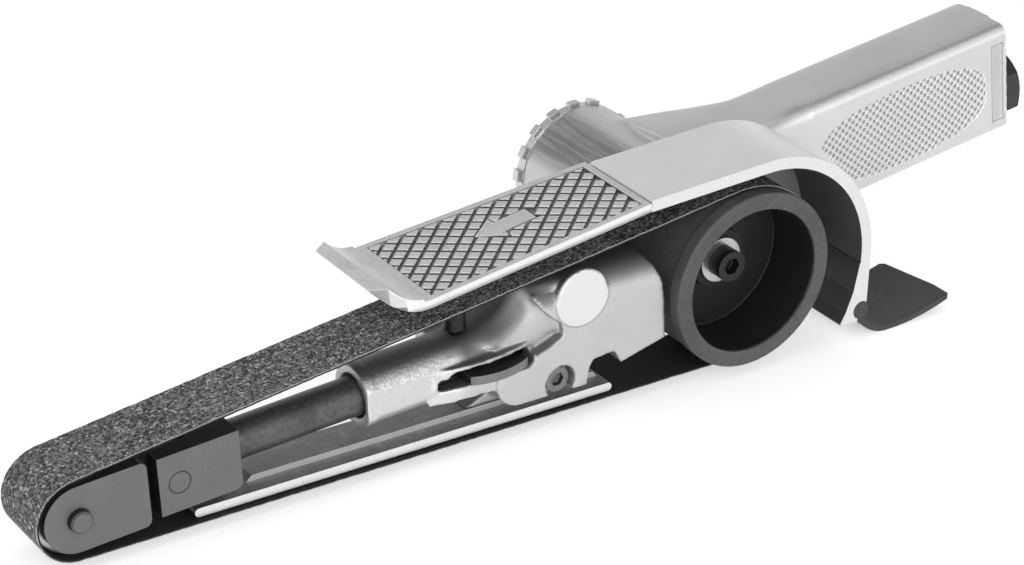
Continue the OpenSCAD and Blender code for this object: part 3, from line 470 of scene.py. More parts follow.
def housing_finish(name, colour):
    """Cast housing: fine blasted skin, and an oval of small pits on the grip's near side."""
    paint = Paint(name, Metallic=0.75, IOR=1.5)
    run, rise = math.cos(GRIP_TILT), math.sin(GRIP_TILT)
    s = paint.along((run, 0, rise), at(*GRIP_ORIGIN)) / MM
    w = paint.along((-rise, 0, run), at(*GRIP_ORIGIN)) / MM
    near = paint.near_side(0.45, 0.8)
    side = 0 - paint.along((0, 1, 0), vector=paint.facing)
    pits = pit_pattern(s, w, Wire.ramp, Wire.cosine) * near
    skin = paint.speckle(0.00045, 4.0, 0.7)
    clouds = paint.speckle(0.016, 3.0, 0.55)
    grit = paint.speckle(0.0012, 5.0, 0.7)
    tone = (skin * 0.5 + clouds * 0.5).ramp(0.3, 0.7)
    base = paint.blend(tone, scaled(colour, 0.93), scaled(colour, 1.06))
    base = paint.blend(grit.ramp(0.62, 0.74) * 0.35, base, scaled(colour, 0.72))
    # painted shade and a painted highlight along the grip's upper edge
    grip = s.ramp(30, 44)
    shade = side.ramp(0.04, 0.2) * side.ramp(0.5, 0.3) * grip
    base = paint.blend(shade * 0.5, base, scaled(colour, 0.3))
    gleam = side.ramp(0.5, 0.7) * side.ramp(0.995, 0.93) * grip
    base = paint.blend(gleam * 0.8, base, (0.97, 0.97, 0.98))
    # painted reflections on the turned barrel: a dark band and a pale band, broken up by streaks
    low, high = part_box("motor_cap")
    reach = (high.z - low.z) / 2 / MM
    dx, dz, away = paint.off_axis((low + high) / 2)
    barrel = away.ramp(reach + 1.2, reach + 0.4) * (1 - abs(side)).ramp(0.55, 0.8)
    lean = (dz * 0.8 - dx * 0.6) / reach
    streaks = paint.speckle(0.0012, 4.0, 0.7, paint.stretch((1, 0.05, 1)))
    dark = lean.ramp(0.80, 0.93) * barrel
    base = paint.blend(dark * (streaks.ramp(0.3, 0.6) * 0.3 + 0.35), base, scaled(colour, 0.1))
    pale = lean.ramp(0.75, 0.3) * barrel * streaks.ramp(0.42, 0.6)
    base = paint.blend(pale * 0.5, base, scaled(colour, 0.35))
    # the recess at the grip's end: painted shade along its edge, and a darker floor
    badge = (2.4 - abs(s - 115.9)).at_most(12.9 - abs(w + 1.1))
    border = badge.ramp(-0.1, 0.15) * badge.ramp(0.75, 0.45) * near
    base = paint.blend(border * 0.6, base, scaled(colour, 0.3))
    base = paint.blend(badge.ramp(0.4, 0.8) * near * 0.35, base, scaled(colour, 0.62))
    # painted shade in the pits, which press_pits also sinks into the mesh
    base = paint.blend(pits * 0.8, base, scaled(colour, 0.34))
    roughness = 0.44 + (skin - 0.5) * 0.2 + (clouds - 0.5) * 0.1
    return paint.feed(Base_Color=base, Roughness=roughness,
                      Normal=paint.relief(skin * 0.25 - pits * 0.5, 0.00012))


def arm_finish(name, colour):
    """Arm casting: bright tumbled near side with a painted highlight on the sleeve's side, painted
    shade on the top, the slope and the upper near face, as-cast skin on the foot.
    """
    paint = Paint(name, Metallic=0.85, IOR=1.5)
    up = paint.along((0, 0, 1), vector=paint.facing)
    skin = paint.speckle(0.0004, 4.0, 0.7)
    clouds = paint.speckle(0.009, 3.0, 0.6)
    grit = paint.cells(0.0008)[0]
    x = paint.along((1, 0, 0), CENTRE) / MM
    z = paint.along((0, 0, 1), CENTRE) / MM
    grainy = x.ramp(-84, -102) * up.ramp(-0.35, 0.35)
    foot = z.ramp(-15, -17)
    tone = (skin * 0.4 + clouds * 0.6).ramp(0.3, 0.7)
    base = paint.blend(tone, scaled(colour, 0.92), scaled(colour, 1.08))
    # painted shade on faces that look upwards
    base = paint.blend(up.ramp(0.2, 0.75) * 0.85, base, scaled(colour, 0.24))
    flare = x.ramp(-97, -90) * x.ramp(-58, -66) * up.ramp(0.0, 0.4)
    # painted shade over the flare
    base = paint.blend(flare * 0.7, base, scaled(colour, 0.3))
    sleeve_side = x.ramp(-88, -93) * paint.near_side(0.5, 0.85)
    # painted highlight on the sleeve's belt side
    base = paint.blend(sleeve_side * 0.8, base, scaled(colour, 1.6))
    base = paint.blend(grainy * grit.ramp(0.2, 0.6) * 0.35, base, scaled(colour, 0.35))
    base = paint.blend(foot * skin.ramp(0.5, 0.65) * 0.35, base, scaled(colour, 0.55))
    near = paint.near_side(0.9, 0.985)
    base = paint.blend(near * 0.5, base, colour)
    # painted shade, darker towards the top
    base = paint.blend(z.ramp(11, 21) * 0.55, base, scaled(colour, 0.3))
    base = paint.blend(near * skin.ramp(0.56, 0.7) * 0.25, base, scaled(colour, 0.6))
    # the polished boss and the thin shade round it
    disc = BOSS_RADIUS - paint.off_axis(at(*BOSS))[2]
    base = paint.blend(disc.ramp(-0.15, 0.1) * near, base, (0.76, 0.76, 0.77))
    shade = disc.ramp(-0.75, -0.3) * disc.ramp(0.05, -0.15) * near
    base = paint.blend(shade * 0.45, base, scaled(colour, 0.35))
    roughness = 0.45 + (skin - 0.5) * 0.25 + grainy * 0.1 + foot * 0.12 + flare * 0.12
    height = skin * 0.3 + grit * grainy.at_least(foot) * 0.8
    return paint.feed(Base_Color=base, Roughness=roughness, Normal=paint.relief(height, 0.00009))


def abrasive_finish(name, colour):
    """Coated grain: dark mineral with bright and black crystals, rough to the touch."""
    paint = Paint(name, Metallic=0.0, IOR=1.6, Specular_IOR_Level=0.5)
    near_grain, crystal = paint.cells(0.0006)
    crystal = paint.along((1, 0, 0), vector=crystal)
    large = paint.speckle(0.0008, 4.0, 0.9)
    clouds = paint.speckle(0.012, 4.0, 0.65)
    tone = crystal * 0.6 + (large * 0.85 + clouds * 0.15).ramp(0.4, 0.6) * 0.4
    base = paint.blend(tone.ramp(0.2, 0.85), scaled(colour, 0.06), scaled(colour, 4.2))
    glints = crystal.ramp(0.9, 0.95)
    base = paint.blend(glints * 0.75, base, (0.5, 0.5, 0.51))
    return paint.feed(Base_Color=base, Roughness=0.74 - glints * 0.35,
                      Normal=paint.relief(near_grain * -0.6 + large, 0.00025))


def cloth_finish(name, colour, twist, lift):
    """Woven backing of the belt: crossed threads under a dark size coat."""
    paint = Paint(name, Metallic=0.0, IOR=1.45, Specular_IOR_Level=0.3)
    thread = 0.0007
    warp = (paint.along((0, 1, 0)) * (TURN / thread)).cosine()
    weft = (paint.along((1, 0, 0.1)) * (TURN / thread)).cosine()
    fuzz = paint.speckle(0.0009, 5.0, 0.75)
    weave = warp * weft * 0.5 + 0.5
    tone = (weave * 0.5 * twist + fuzz * 0.6).ramp(0.3, 0.8)
    base = paint.blend(tone, scaled(colour, 0.6 * lift), scaled(colour, 1.8 * lift))
    return paint.feed(Base_Color=base, Roughness=0.85 + (fuzz - 0.5) * 0.1,
                      Normal=paint.relief(weave + fuzz, 0.0001))


def bronze_finish(name, colour):
    """Pressed bronze balls with dark gaps, for the silencer disc."""
    paint = Paint(name, Metallic=0.9, IOR=1.5)
    balls = paint.cells(0.0007)[0]
    tone = paint.speckle(0.004, 3.0, 0.6)
    base = paint.blend(balls.ramp(0.25, 0.6), colour, scaled(colour, 0.15))
    base = paint.blend(tone.ramp(0.45, 0.7) * 0.4, base, scaled(colour, 0.6))
    return paint.feed(Base_Color=base, Roughness=0.4 + balls * 0.3,
                      Normal=paint.relief(1 - balls, 0.0002))


FINISHES = {}


def recipe(maker, *values, **options):
    """A finish that is made on its first use, by a maker that is told its name."""
    return lambda name: maker(name, *values, **options)


def finish_of(name):
    """The finish of that name; every one is made once.

    The numbers of a metal are its roughness, metallic share, skin, relief depth, mottle, the
    factor of its painted edge highlight, and rounding.
    """
    if name in FINISHES:
        return FINISHES[name]
    own = bpy.context.scene.sander_colours
    wheel_face = (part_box("drive_wheel")[0].y - CENTRE.y) / MM
    # edge paints a highlight along edges; near paints light on the belt side above 1 and shade
    # below 1
    recipes = {
        "cast_aluminium": recipe(housing_finish, own.cast),
        "satin_aluminium": recipe(arm_finish, own.satin),
        "pressed_aluminium": recipe(
            metal, own.pressed, 0.4, 0.78, 0.0009, 0.000008, 0.035, 1.25, 0.0005, wear=0.04,
            near=0.86, hollow=hood_inside()),
        "plate_aluminium": recipe(
            metal, scaled(own.pressed, 0.84), 0.4, 0.8, 0.0011, 0.00005, 0.1, 1.5, 0.0004, wear=0.3,
            grime=0.25, low=plate_groove_shade(), near=1.15),
        "cap_aluminium": recipe(
            metal, scaled(own.pressed, 0.77), 0.32, 0.9, 0.0005, 0.00002, 0.08, 1.3, 0.0004,
            grime=0.25),
        "platen_steel": recipe(
            metal, scaled(own.steel, 0.45), 0.42, 0.75, 0.0011, 0.00006, 0.3, 2.2, 0.0004, wear=0.5,
            grime=0.3, near=3.7),
        "machined_steel": recipe(
            metal, own.steel, 0.28, 1.0, 0.0004, 0.00001, 0.08, 1.3, brushed=True),
        "bearing_steel": recipe(metal, scaled(own.steel, 1.2), 0.18, 1.0, 0.0004, 0.000005, 0.05),
        "zinc_steel": recipe(metal, scaled(own.steel, 1.15), 0.3, 1.0, 0.0008, 0.00001, 0.15, 1.3),
        "black_steel": recipe(metal, own.black, 0.36, 0.5, 0.0006, 0.00002, 0.25, 5.0, wear=0.25),
        "wheel_rim": recipe(two_tone, scaled(own.fork, 0.95), own.black, shallow=wheel_face + 1.5),
        "grey_steel": recipe(two_tone, own.fork, own.black, pins=("block_pin", "roller_axle")),
        "lever_steel": recipe(two_tone, scaled(own.fork, 1.25), scaled(own.black, 1.5), rough=0.42),
        "rod_steel": recipe(
            metal, own.rod, 0.4, 0.6, 0.0014, 0.00006, 0.35, 2.2, wear=0.45, grime=0.4),
        "spring_steel": recipe(metal, scaled(own.steel, 0.5), 0.3, 1.0, 0.0006, 0.00001, 0.15, 1.5),
        "cast_iron": recipe(
            metal, (0.16, 0.16, 0.165), 0.5, 0.8, 0.0006, 0.00004, 0.2, 1.6, grime=0.4),
        "lever_aluminium": recipe(metal, own.cast, 0.4, 0.85, 0.0007, 0.00002, 0.08),
        "inlet_steel": recipe(metal, scaled(own.black, 2.0), 0.4, 0.4, 0.0006, 0.00002, 0.2, 3.0),
        "sintered_bronze": recipe(bronze_finish, own.bronze),
        "brass": recipe(metal, own.brass, 0.25, 1.0, 0.0005, 0.00001, 0.1, 1.3),
        "vane_resin": recipe(metal, own.resin, 0.5, 0.0, 0.0005, 0.00002, 0.3, 1.5),
        "wheel_rubber": recipe(rubber, scaled(own.rubber, 2.0)),
        "flap_rubber": recipe(rubber, scaled(own.rubber, 1.15), 0.0012, 0.000015, 0.55),
        "valve_rubber": recipe(rubber, scaled(own.rubber, 0.5)),
        "abrasive_grain": recipe(abrasive_finish, own.grain),
        "belt_back": recipe(cloth_finish, own.cloth, 1.0, 0.8),
        "belt_edge": recipe(cloth_finish, (0.34, 0.34, 0.345), 0.6, 1.0),
    }
    FINISHES[name] = recipes[name](name)
    return FINISHES[name]


# Help with meshes


def linked(name, data):
    """A new object for a mesh, lamp or camera, linked to the scene."""
    piece = bpy.data.objects.new(name, data)
    bpy.context.scene.collection.objects.link(piece)
    return piece


def dress(nodes, finish):
    """Give nodes of the frame one finish."""
    for name in nodes:
        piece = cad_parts[name]
        piece.data.materials.clear()
        piece.data.materials.append(finish_of(finish))


def clear_bores(work, bores):
    """Keep the rod's bores open in a mesh whose corners have been rounded.

    bores holds (start, end, radius) in millimetres along the rod, from the nose roller's axis.
    """
    low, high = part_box("nose_roller")
    nose = Vector(((low.x + high.x) / 2, CENTRE.y, (low.z + high.z) / 2))
    along = (CENTRE - nose).normalized()
    for vertex in work.verts:
        away = vertex.co - nose
        reach = away.dot(along)
        radial = away - along * reach
        for start, end, radius in bores:
            if start < reach / MM < end and 0.5 < radial.length / MM < radius:
                vertex.co += radial * (radius * MM / radial.length - 1)


def foundry_copy(name, new_name, finish, voxel, regions, bores=()):
    """A copy of a casting with its corners rounded as a foundry leaves them, and its blends eased.

    regions holds (low corner, high corner, passes): boxes in millimetres from the drive wheel's
    centre, in which the copy's surface is relaxed that many times. bores is for clear_bores.
    """
    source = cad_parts[name]
    rough = linked("rough_copy", source.data.copy())
    cells = rough.modifiers.new("cells", "REMESH")
    cells.mode = "VOXEL"
    cells.voxel_size = voxel
    graph = bpy.context.evaluated_depsgraph_get()
    shape = bpy.data.meshes.new_from_object(rough.evaluated_get(graph))
    bpy.data.objects.remove(rough)
    work = bmesh.new()
    work.from_mesh(shape)
    for low, high, passes in regions:
        low, high = at(*low), at(*high)
        inner = [v for v in work.verts if all(low[k] < v.co[k] < high[k] for k in range(3))]
        for _ in range(passes):
            bmesh.ops.smooth_vert(work, verts=inner, factor=0.5, use_axis_x=True, use_axis_y=True,
                                  use_axis_z=True)
    clear_bores(work, bores)
    work.to_mesh(shape)
    work.free()
    shape.name = new_name
    shape.materials.clear()
    shape.materials.append(finish_of(finish))
    shape.polygons.foreach_set("use_smooth", [True] * len(shape.polygons))
    piece = linked(new_name, shape)
    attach(piece, "tool")
    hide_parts(name)
    return piece


def new_piece(name, vertices, faces, materials, indices=None, smooth=True):
    """A mesh object from vertices in metres, linked to the scene."""
    mesh = bpy.data.meshes.new(name)
    mesh.from_pydata([tuple(v) for v in vertices], [], faces)
    for finish in materials:
        mesh.materials.append(finish_of(finish))
    if indices:
        mesh.polygons.foreach_set("material_index", indices)
    mesh.polygons.foreach_set("use_smooth", [smooth] * len(mesh.polygons))
    mesh.update()
    piece = linked(name, mesh)
    work = bmesh.new()
    work.from_mesh(mesh)
    bmesh.ops.recalc_face_normals(work, faces=work.faces)
    work.to_mesh(mesh)
    work.free()
    return piece


# One operator for each kind of piece


def eased(value, low, high):
    """0 below low, 1 above high and smooth between them."""
    k = max(0.0, min(1.0, (value - low) / (high - low)))
    return k * k * (3 - 2 * k)


def pit_share(point):
    """How far into a pit of the grip's near side a point lies, 0 to 1."""
    away = (point - at(*GRIP_ORIGIN)) / MM
    s = away.x * math.cos(GRIP_TILT) + away.z * math.sin(GRIP_TILT)
    w = away.z * math.cos(GRIP_TILT) - away.x * math.sin(GRIP_TILT)
    return pit_pattern(s, w, eased, math.cos)


def press_pits(piece, depth):
    """Sink the grip's oval of pits into the near face of a casting."""
    work = bmesh.new()
    work.from_mesh(piece.data)
    work.edges.ensure_lookup_table()
    start, end = at(44, 0, 0).x, at(116, 0, 0).x
    near = -0.8
    chosen = set()
    for face in work.faces:
        if face.normal.y < near and max(pit_share(vertex.co) for vertex in face.verts) > 0.01:
            chosen.update(edge.index for edge in face.edges)
    bmesh.ops.subdivide_edges(work, edges=[work.edges[i] for i in sorted(chosen)], cuts=2,
                              use_grid_fill=True)
    work.normal_update()
    for vertex in work.verts:
        if vertex.normal.y < near and start < vertex.co.x < end:
            vertex.co.y += depth * pit_share(vertex.co)
    work.to_mesh(piece.data)
    work.free()


class Castings(bpy.types.Operator):
    """Finish the motor housing and the arm casting as cast aluminium"""

    bl_idname = "sander.castings"
    bl_label = "Castings"

    def execute(self, context):
        voxel = context.scene.sander_sizes.cast_voxel
        whole = ((-300, -100, -100), (300, 200, 200), 3)
        neck = ((0, 12, -42), (58, 68, 62), 10)
        neck_root = ((4, 16, -40), (44, 64, 60), 30)
        housing = foundry_copy("motor_housing", "housing_casting", "cast_aluminium", voxel,
                               [whole, neck, neck_root])
        press_pits(housing, context.scene.sander_sizes.pit_depth)
        boss_root = ((-95, -9.6, -1.5), (-59, 3, 17), 130)
        sleeve_end = ((-93, -30, -30), (-84, 30, 4), 6)
        arm = foundry_copy("arm_frame", "arm_casting", "satin_aluminium", voxel * 0.75,
                           [whole, boss_root, sleeve_end],
                           [(80, 136.3, 5.65), (136.7, 150, 2.65)])
        return {"FINISHED"}


class MotorParts(bpy.types.Operator):
    """Finish the vane motor, its bearings, the ring nut and the silencer"""

    bl_idname = "sander.motor"
    bl_label = "Motor"

    def execute(self, context):
        dress(["motor_cap"], "cap_aluminium")
        dress(["silencer_disc"], "sintered_bronze")
        dress(["rear_plate", "front_plate", "cylinder_liner"], "cast_iron")
        dress(["rotor"], "machined_steel")
        dress(["rotor_vanes"], "vane_resin")
        dress(["front_bearing", "rear_bearing"], "bearing_steel")
        return {"FINISHED"}


class DriveWheel(bpy.types.Operator):
    """Finish the drive wheel, its rubber tyre, bolt and washer"""

    bl_idname = "sander.wheel"
    bl_label = "Drive wheel"

    def execute(self, context):
        dress(["drive_wheel"], "wheel_rim")
        dress(["wheel_tyre"], "wheel_rubber")
        dress(["wheel_washer"], "zinc_steel")
        dress(["wheel_bolt"], "black_steel")
        return {"FINISHED"}


class GuardParts(bpy.types.Operator):
    """Finish the belt guard, its screws and the rubber flap"""

    bl_idname = "sander.guard"
    bl_label = "Guard"

    def execute(self, context):
        dress(["guard"], "pressed_aluminium")
        dress(["guard_screws", "plate_screws"], "zinc_steel")
        dress(["rubber_flap"], "flap_rubber")
        return {"FINISHED"}


def clipped(outline, point, inward):
    """What is left of a flat outline on the inner side of a line."""
    kept = []
    for i, here in enumerate(outline):
        there = outline[(i + 1) % len(outline)]
        a = (here - point).dot(inward)
        b = (there - point).dot(inward)
        if a >= 0:
            kept.append(here)
        if (a >= 0) != (b >= 0):
            kept.append(here + (there - here) * (a / (a - b)))
    return kept


def encloses(outline, point):
    """Whether a flat point lies within a closed outline."""
    inside = False
    for i, a in enumerate(outline):
        b = outline[i - 1]
        if (a.y > point.y) != (b.y > point.y) and point.x < (
                (b.x - a.x) * (point.y - a.y) / (b.y - a.y) + a.x):
            inside = not inside
    return inside


def nearest_on(outline, point):
    """The point of a closed outline that lies nearest to a flat point."""
    feet = []
    for i, a in enumerate(outline):
        run = outline[(i + 1) % len(outline)] - a
        feet.append(a + run * max(0.0, min(1.0, (point - a).dot(run) / run.length_squared)))
    return min(feet, key=lambda foot: (point - foot).length)


def area_of(outline):
    """Area within a closed flat outline."""
    turned = outline[1:] + outline[:1]
    return abs(sum(p.x * q.y - p.y * q.x for p, q in zip(outline, turned))) / 2


class GripPlate(bpy.types.Operator):
    """Raise the diamond pads in the top plate's recess and finish the plate"""

    bl_idname = "sander.plate"
    bl_label = "Grip plate"

    # Flat measures in millimetres: from the plate's joint towards the nose, and across.
    # The recess's borders, each a point and the direction inwards, with a groove left free
    groove = 0.3
    borders = (((1.8 + groove, 0), (1, 0)), ((67.8 - groove, 0), (-1, 0)),
               ((0, -12.2 + groove), (0, 1)), ((1.8, 14.8 - groove), (4.72, -66.0)))
    # The pads' rows: one pad's centre and the steps to its two neighbours
    start, first, second = Vector((65.75, -7.2)), Vector((2.82, -2.42)), Vector((2.85, 2.73))
    arrow = [Vector((PLATE_JOINT[0] - x, y)) for x, y in (
        (-79.5, 4.6), (-72.2, 9.6), (-72, 7.2), (-62, 7.4), (-62, 1.8), (-72, 1.6),
        (-72.4, -0.8))]
    arrow_reach, arrow_gap, least_area = 3.0, 0.5, 0.5

    def outline(self, middle, share):
        """A pad's outline, cut back from the borders and the arrow, or None where none fits."""
        pad = [middle + self.first * a * share + self.second * b * share
               for a, b in ((-1, -1), (1, -1), (1, 1), (-1, 1))]
        for point, inward in self.borders:
            pad = clipped(pad, Vector(point), Vector(inward).normalized())
        if encloses(self.arrow, middle):
            return None
        foot = nearest_on(self.arrow, middle)
        if (middle - foot).length < self.arrow_reach:
            outward = (middle - foot).normalized()
            pad = clipped(pad, foot + outward * self.arrow_gap, outward)
        return pad if len(pad) >= 3 and area_of(pad) >= self.least_area else None

    def place(self, flat, level):
        """A flat point at a height over the plate's face, in metres of the shared frame."""
        run, rise = math.cos(PLATE_TILT), math.sin(PLATE_TILT)
        return at(PLATE_JOINT[0] - flat.x * run - level * rise, flat.y,
                  PLATE_JOINT[2] - flat.x * rise + level * run)

    def execute(self, context):
        sizes = context.scene.sander_sizes
        dress(["top_plate"], "plate_aluminium")
        share, height = sizes.pad_share / 2, sizes.pad_height / MM
        # height over the plate's face and share of the outline, of a pad's foot, side and top
        levels = ((-1.05, 1.06), (height - 1.16, 0.99), (height - 1.0, 0.88))
        vertices, faces = [], []
        for m in range(-30, 8):
            for n in range(-22, 10):
                middle = self.start + self.first * m + self.second * n
                if not (0 < middle.x < 70 and -15 < middle.y < 23):
                    continue
                pad = self.outline(middle, share)
                if pad is None:
                    continue
                centre = sum(pad, Vector((0, 0))) / len(pad)
                base, count = len(vertices), len(pad)
                for level, shrink in levels:
                    vertices += [self.place(centre + (p - centre) * shrink, level) for p in pad]
                for ring in (0, 1):
                    for i in range(count):
                        j = (i + 1) % count
                        low, high = base + ring * count, base + (ring + 1) * count
                        faces.append((low + i, low + j, high + j, high + i))
                faces.append(tuple(base + 2 * count + i for i in range(count)))
        pads = new_piece("plate_pads", vertices, faces, ["plate_aluminium"], smooth=False)
        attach(pads, "tool")
        return {"FINISHED"}


def belt_path(big, small, reach):
    """The belt's loop round the drive wheel and the nose, in the plane of the wheels.

    Gives (point of the inner face, direction out of the belt) for each step, in millimetres.
    """
    lean = math.asin((big - small) / reach)
    along = Vector((math.cos(lean), math.sin(lean)))
    up = Vector((-math.sin(lean), math.cos(lean)))
    nose = Vector((-reach * math.cos(lean), -reach * math.sin(lean)))
    wheel = nose + along * reach
    turn = math.pi / 2 + lean
    wheel_steps, nose_steps, straight_steps = 72, 48, 150

    def spoke(angle):
        return along * math.cos(angle) + up * math.sin(angle)

    def straight(start, end, out):
        shares = [i / straight_steps for i in range(1, straight_steps)]
        return [(start * (1 - k) + end * k, out) for k in shares]

    outs = [spoke(turn * (2 * i / wheel_steps - 1)) for i in range(wheel_steps + 1)]
    path = [(wheel + out * big, out) for out in outs]
    top, low = spoke(turn), spoke(-turn)
    path += straight(wheel + top * big, nose + top * small, top)
    outs = [spoke(turn + (TURN - 2 * turn) * i / nose_steps) for i in range(nose_steps + 1)]
    path += [(nose + out * small, out) for out in outs]
    return path + straight(nose + low * small, wheel + low * big, low)


def torn_back(point, side, fray):
    """How far the belt's torn edge stands back at a point, in millimetres."""
    coarse = noise.noise(Vector((point.x * 1.7, point.y * 1.7, 9.1 * side)))
    fine = noise.noise(Vector((point.x * 6.1, point.y * 6.1, 3.3 * side)))
    return fray * abs(coarse * 1.2 + fine * 0.7)


class BeltOperator(bpy.types.Operator):
    """Build the abrasive belt with its grain, woven back and frayed edges"""

    bl_idname = "sander.belt"
    bl_label = "Abrasive belt"

    def execute(self, context):
        sizes = context.scene.sander_sizes
        path = belt_path(sizes.wheel_radius / MM, sizes.nose_radius / MM,
                         sizes.centre_distance / MM)
        half, thick = sizes.belt_width / MM / 2, sizes.belt_thickness / MM
        rows, count = 10, len(path)
        # each step of the loop holds an inner row, an outer row and the two torn edges
        vertices = []
        for point, out in path:
            torn = [torn_back(point, side, sizes.belt_fray / MM) for side in (-1, 1)]
            for level, worn in ((0.0, 0.0), (thick, 0.12)):
                here = point + out * level
                for r in range(rows + 1):
                    across = -half + 2 * half * r / rows
                    if r == 0:
                        across += min(torn[0] + worn, 0.6)
                    if r == rows:
                        across -= min(torn[1] + worn, 0.6)
                    vertices.append(at(here.x, across, here.y))
            here = point + out * (thick * 0.6)
            for side, back in zip((-1, 1), torn):
                vertices.append(at(here.x, side * (half - min(back + 0.02, 0.5)), here.y))
        ring = 2 * (rows + 1) + 2
        finishes = ["abrasive_grain", "belt_back", "belt_edge"]
        grain, back, edge = range(3)
        faces = []
        for i in range(count):
            a, b = i * ring, ((i + 1) % count) * ring
            outer_a, outer_b = a + rows + 1, b + rows + 1
            for r in range(rows):
                faces.append(((a + r, a + r + 1, b + r + 1, b + r), back))
                faces.append(((outer_a + r, outer_b + r, outer_b + r + 1, outer_a + r + 1), grain))
            near_a, near_b, far_a, far_b = a + ring - 2, b + ring - 2, a + ring - 1, b + ring - 1
            faces.append(((a, b, near_b, near_a), back))
            faces.append(((near_a, near_b, outer_b, outer_a), edge))
            faces.append(((a + rows, far_a, far_b, b + rows), back))
            faces.append(((far_a, outer_a + rows, outer_b + rows, far_b), edge))
        belt = new_piece("sanding_belt", vertices, [face for face, _ in faces], finishes,
                         [kind for _, kind in faces])
        crisp = belt.modifiers.new("belt_corners", "EDGE_SPLIT")
        crisp.split_angle = math.radians(50)
        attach(belt, "tool")
        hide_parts("abrasive_belt")
        return {"FINISHED"}


class ArmParts(bpy.types.Operator):
    """Finish the rod, spring, tracking parts, release lever, platen and their screws"""

    bl_idname = "sander.arm"
    bl_label = "Arm"

    def execute(self, context):
        dress(["platen"], "platen_steel")
        dress(["tension_rod"], "rod_steel")
        dress(["tension_spring"], "spring_steel")
        dress(["spring_washer", "arm_screws", "platen_screws"], "zinc_steel")
        dress(["tracking_crank"], "machined_steel")
        dress(["tracking_screw"], "lever_steel")
        dress(["release_lever"], "lever_steel")
        dress(["lever_pivot"], "black_steel")
        return {"FINISHED"}


class NoseParts(bpy.types.Operator):
    """Finish the rod block, fork, axle and nose roller"""

    bl_idname = "sander.nose"
    bl_label = "Nose"

    def execute(self, context):
        dress(["rod_block", "fork_plates", "block_pin", "roller_axle"], "grey_steel")
        dress(["fork_tongue"], "black_steel")
        dress(["nose_roller"], "machined_steel")
        dress(["roller_bearings"], "bearing_steel")
        return {"FINISHED"}


class AirParts(bpy.types.Operator):
    """Finish the throttle, the valve and the air inlet"""

    bl_idname = "sander.air"
    bl_label = "Throttle and inlet"

    def execute(self, context):
        dress(["throttle_lever"], "lever_aluminium")
        dress(["throttle_pin", "push_pin"], "machined_steel")
        dress(["valve_bushing"], "brass")
        dress(["valve_head"], "valve_rubber")
        dress(["valve_spring"], "spring_steel")
        dress(["inlet_bushing"], "inlet_steel")
        return {"FINISHED"}


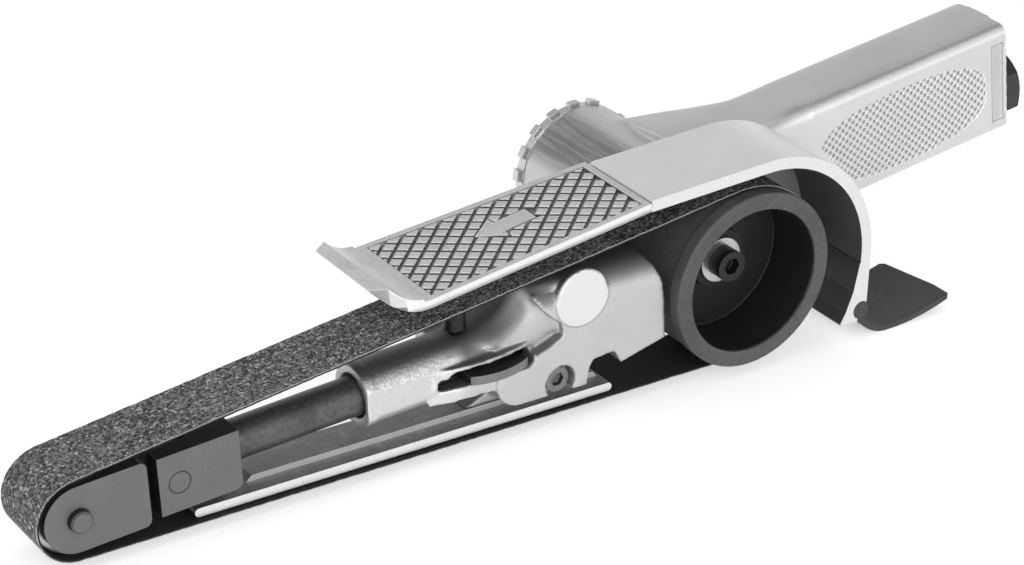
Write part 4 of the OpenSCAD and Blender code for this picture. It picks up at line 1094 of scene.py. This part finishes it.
class Stage(bpy.types.Operator):
    """Lay the floor, set the soft light and place the camera"""

    bl_idname = "sander.stage"
    bl_label = "Stage"

    def execute(self, context):
        scene = context.scene
        scene.view_settings.view_transform = "Standard"
        self.floor()
        self.world(scene)
        self.lamps()
        self.camera(scene)
        return {"FINISHED"}

    def floor(self):
        centre = at(-40, 20, 0)
        half = 3.0
        z = CAD_BOX[0][2] - 0.00002
        corners = [(centre.x - half, centre.y - half, z), (centre.x + half, centre.y - half, z),
                   (centre.x + half, centre.y + half, z), (centre.x - half, centre.y + half, z)]
        mesh = bpy.data.meshes.new("studio_floor")
        mesh.from_pydata(corners, [], [(0, 1, 2, 3)])
        piece = linked("studio_floor", mesh)
        paint = Paint("pale_floor", Base_Color=(0.82, 0.82, 0.82), Roughness=0.9,
                      Specular_IOR_Level=0.1, Emission_Strength=1.0)
        camera, glossy, through = paint.rays()
        glow = camera.at_least(glossy).at_least(through) * 0.5
        mesh.materials.append(paint.feed(Emission_Color=paint.blend(glow, (0, 0, 0), (1, 1, 1))))

    def world(self, scene):
        """White where the camera looks, and a soft sky that is brightest near the horizon."""
        scene.world = bpy.data.worlds.new("studio_sky")
        scene.world.use_nodes = True
        sky = Graph(scene.world.node_tree)

        def fade(first, last, low, high):
            return sky.node("ShaderNodeMapRange", None, {
                "Value": up, "From Min": first, "From Max": last, "To Min": low, "To Max": high})[0]

        def background(strength):
            return sky.node("ShaderNodeBackground", None,
                            {"Color": (1, 1, 1), "Strength": strength})[0]

        direction, = sky.read("ShaderNodeTexCoord", "Generated")
        up = sky.node("ShaderNodeSeparateXYZ", None, {"Vector": direction})[2]
        camera, glossy, through = sky.rays()
        seen = camera.at_least(through).at_least(glossy * fade(0.0, 0.12, 1.0, 0.0))
        mix = sky.node("ShaderNodeMixShader", None, {
            0: seen, 1: background(fade(0.05, 0.8, 0.95, 0.38)), 2: background(1.0)})[0]
        sky.node("ShaderNodeOutputWorld", None, {"Surface": mix})

    def lamps(self):
        target = at(-45, 10, 0)
        for name, offset, size, power in (
                ("front_softbox", (-0.25, -1.25, 0.45), 0.9, 7.5),
                ("left_softbox", (-1.0, -0.35, 0.9), 0.7, 2.5),
                ("top_softbox", (0.15, 0.3, 1.3), 0.8, 1.5)):
            lamp = bpy.data.lights.new(name, "AREA")
            lamp.shape = "SQUARE"
            lamp.size = size
            lamp.energy = power
            holder = linked(name, lamp)
            holder.location = target + Vector(offset)
            facing = (target - holder.location).to_track_quat("-Z", "Y")
            holder.rotation_euler = facing.to_euler()

    def camera(self, scene):
        turn, rise, roll = (math.radians(a) for a in (-34.537, 27.028, 1.659))
        back = Vector((math.sin(turn) * math.cos(rise), -math.cos(turn) * math.cos(rise),
                       math.sin(rise)))
        side = Vector((math.cos(turn), math.sin(turn), 0))
        up = back.cross(side)
        right = side * math.cos(roll) + up * math.sin(roll)
        top = up * math.cos(roll) - side * math.sin(roll)
        lens = bpy.data.cameras.new("product_camera")
        lens.sensor_fit = "HORIZONTAL"
        lens.sensor_width = 36.0
        lens.lens = 105.195
        lens.clip_start = 0.05
        lens.clip_end = 20.0
        camera = linked("product_camera", lens)
        place = at(-100, 0, 0) + (back * 776.98 + right * 25.244 + top * 17.107) * MM
        turned = Matrix((right, top, back)).transposed().to_4x4()
        camera.matrix_world = Matrix.Translation(place) @ turned
        scene.camera = camera


OPERATORS = (Castings, MotorParts, DriveWheel, GuardParts, GripPlate, BeltOperator, ArmParts,
             NoseParts, AirParts, Stage)


class SanderPanel(bpy.types.Panel):
    """Buttons for each group of the sander's pieces"""

    bl_idname = "VIEW3D_PT_sander"
    bl_label = "Belt sander"
    bl_space_type = "VIEW_3D"
    bl_region_type = "UI"
    bl_category = "Sander"

    def draw(self, context):
        for kind in OPERATORS:
            self.layout.operator(kind.bl_idname)


CLASSES = (SanderSizes, SanderColours) + OPERATORS + (SanderPanel,)


def register():
    for kind in CLASSES:
        bpy.utils.register_class(kind)
    bpy.types.Scene.sander_sizes = bpy.props.PointerProperty(type=SanderSizes)
    bpy.types.Scene.sander_colours = bpy.props.PointerProperty(type=SanderColours)


def unregister():
    del bpy.types.Scene.sander_colours
    del bpy.types.Scene.sander_sizes
    for kind in reversed(CLASSES):
        bpy.utils.unregister_class(kind)


def main():
    register()
    for kind in OPERATORS:
        group, name = kind.bl_idname.split(".")
        getattr(getattr(bpy.ops, group), name)()


if __name__ == "__main__":
    main()
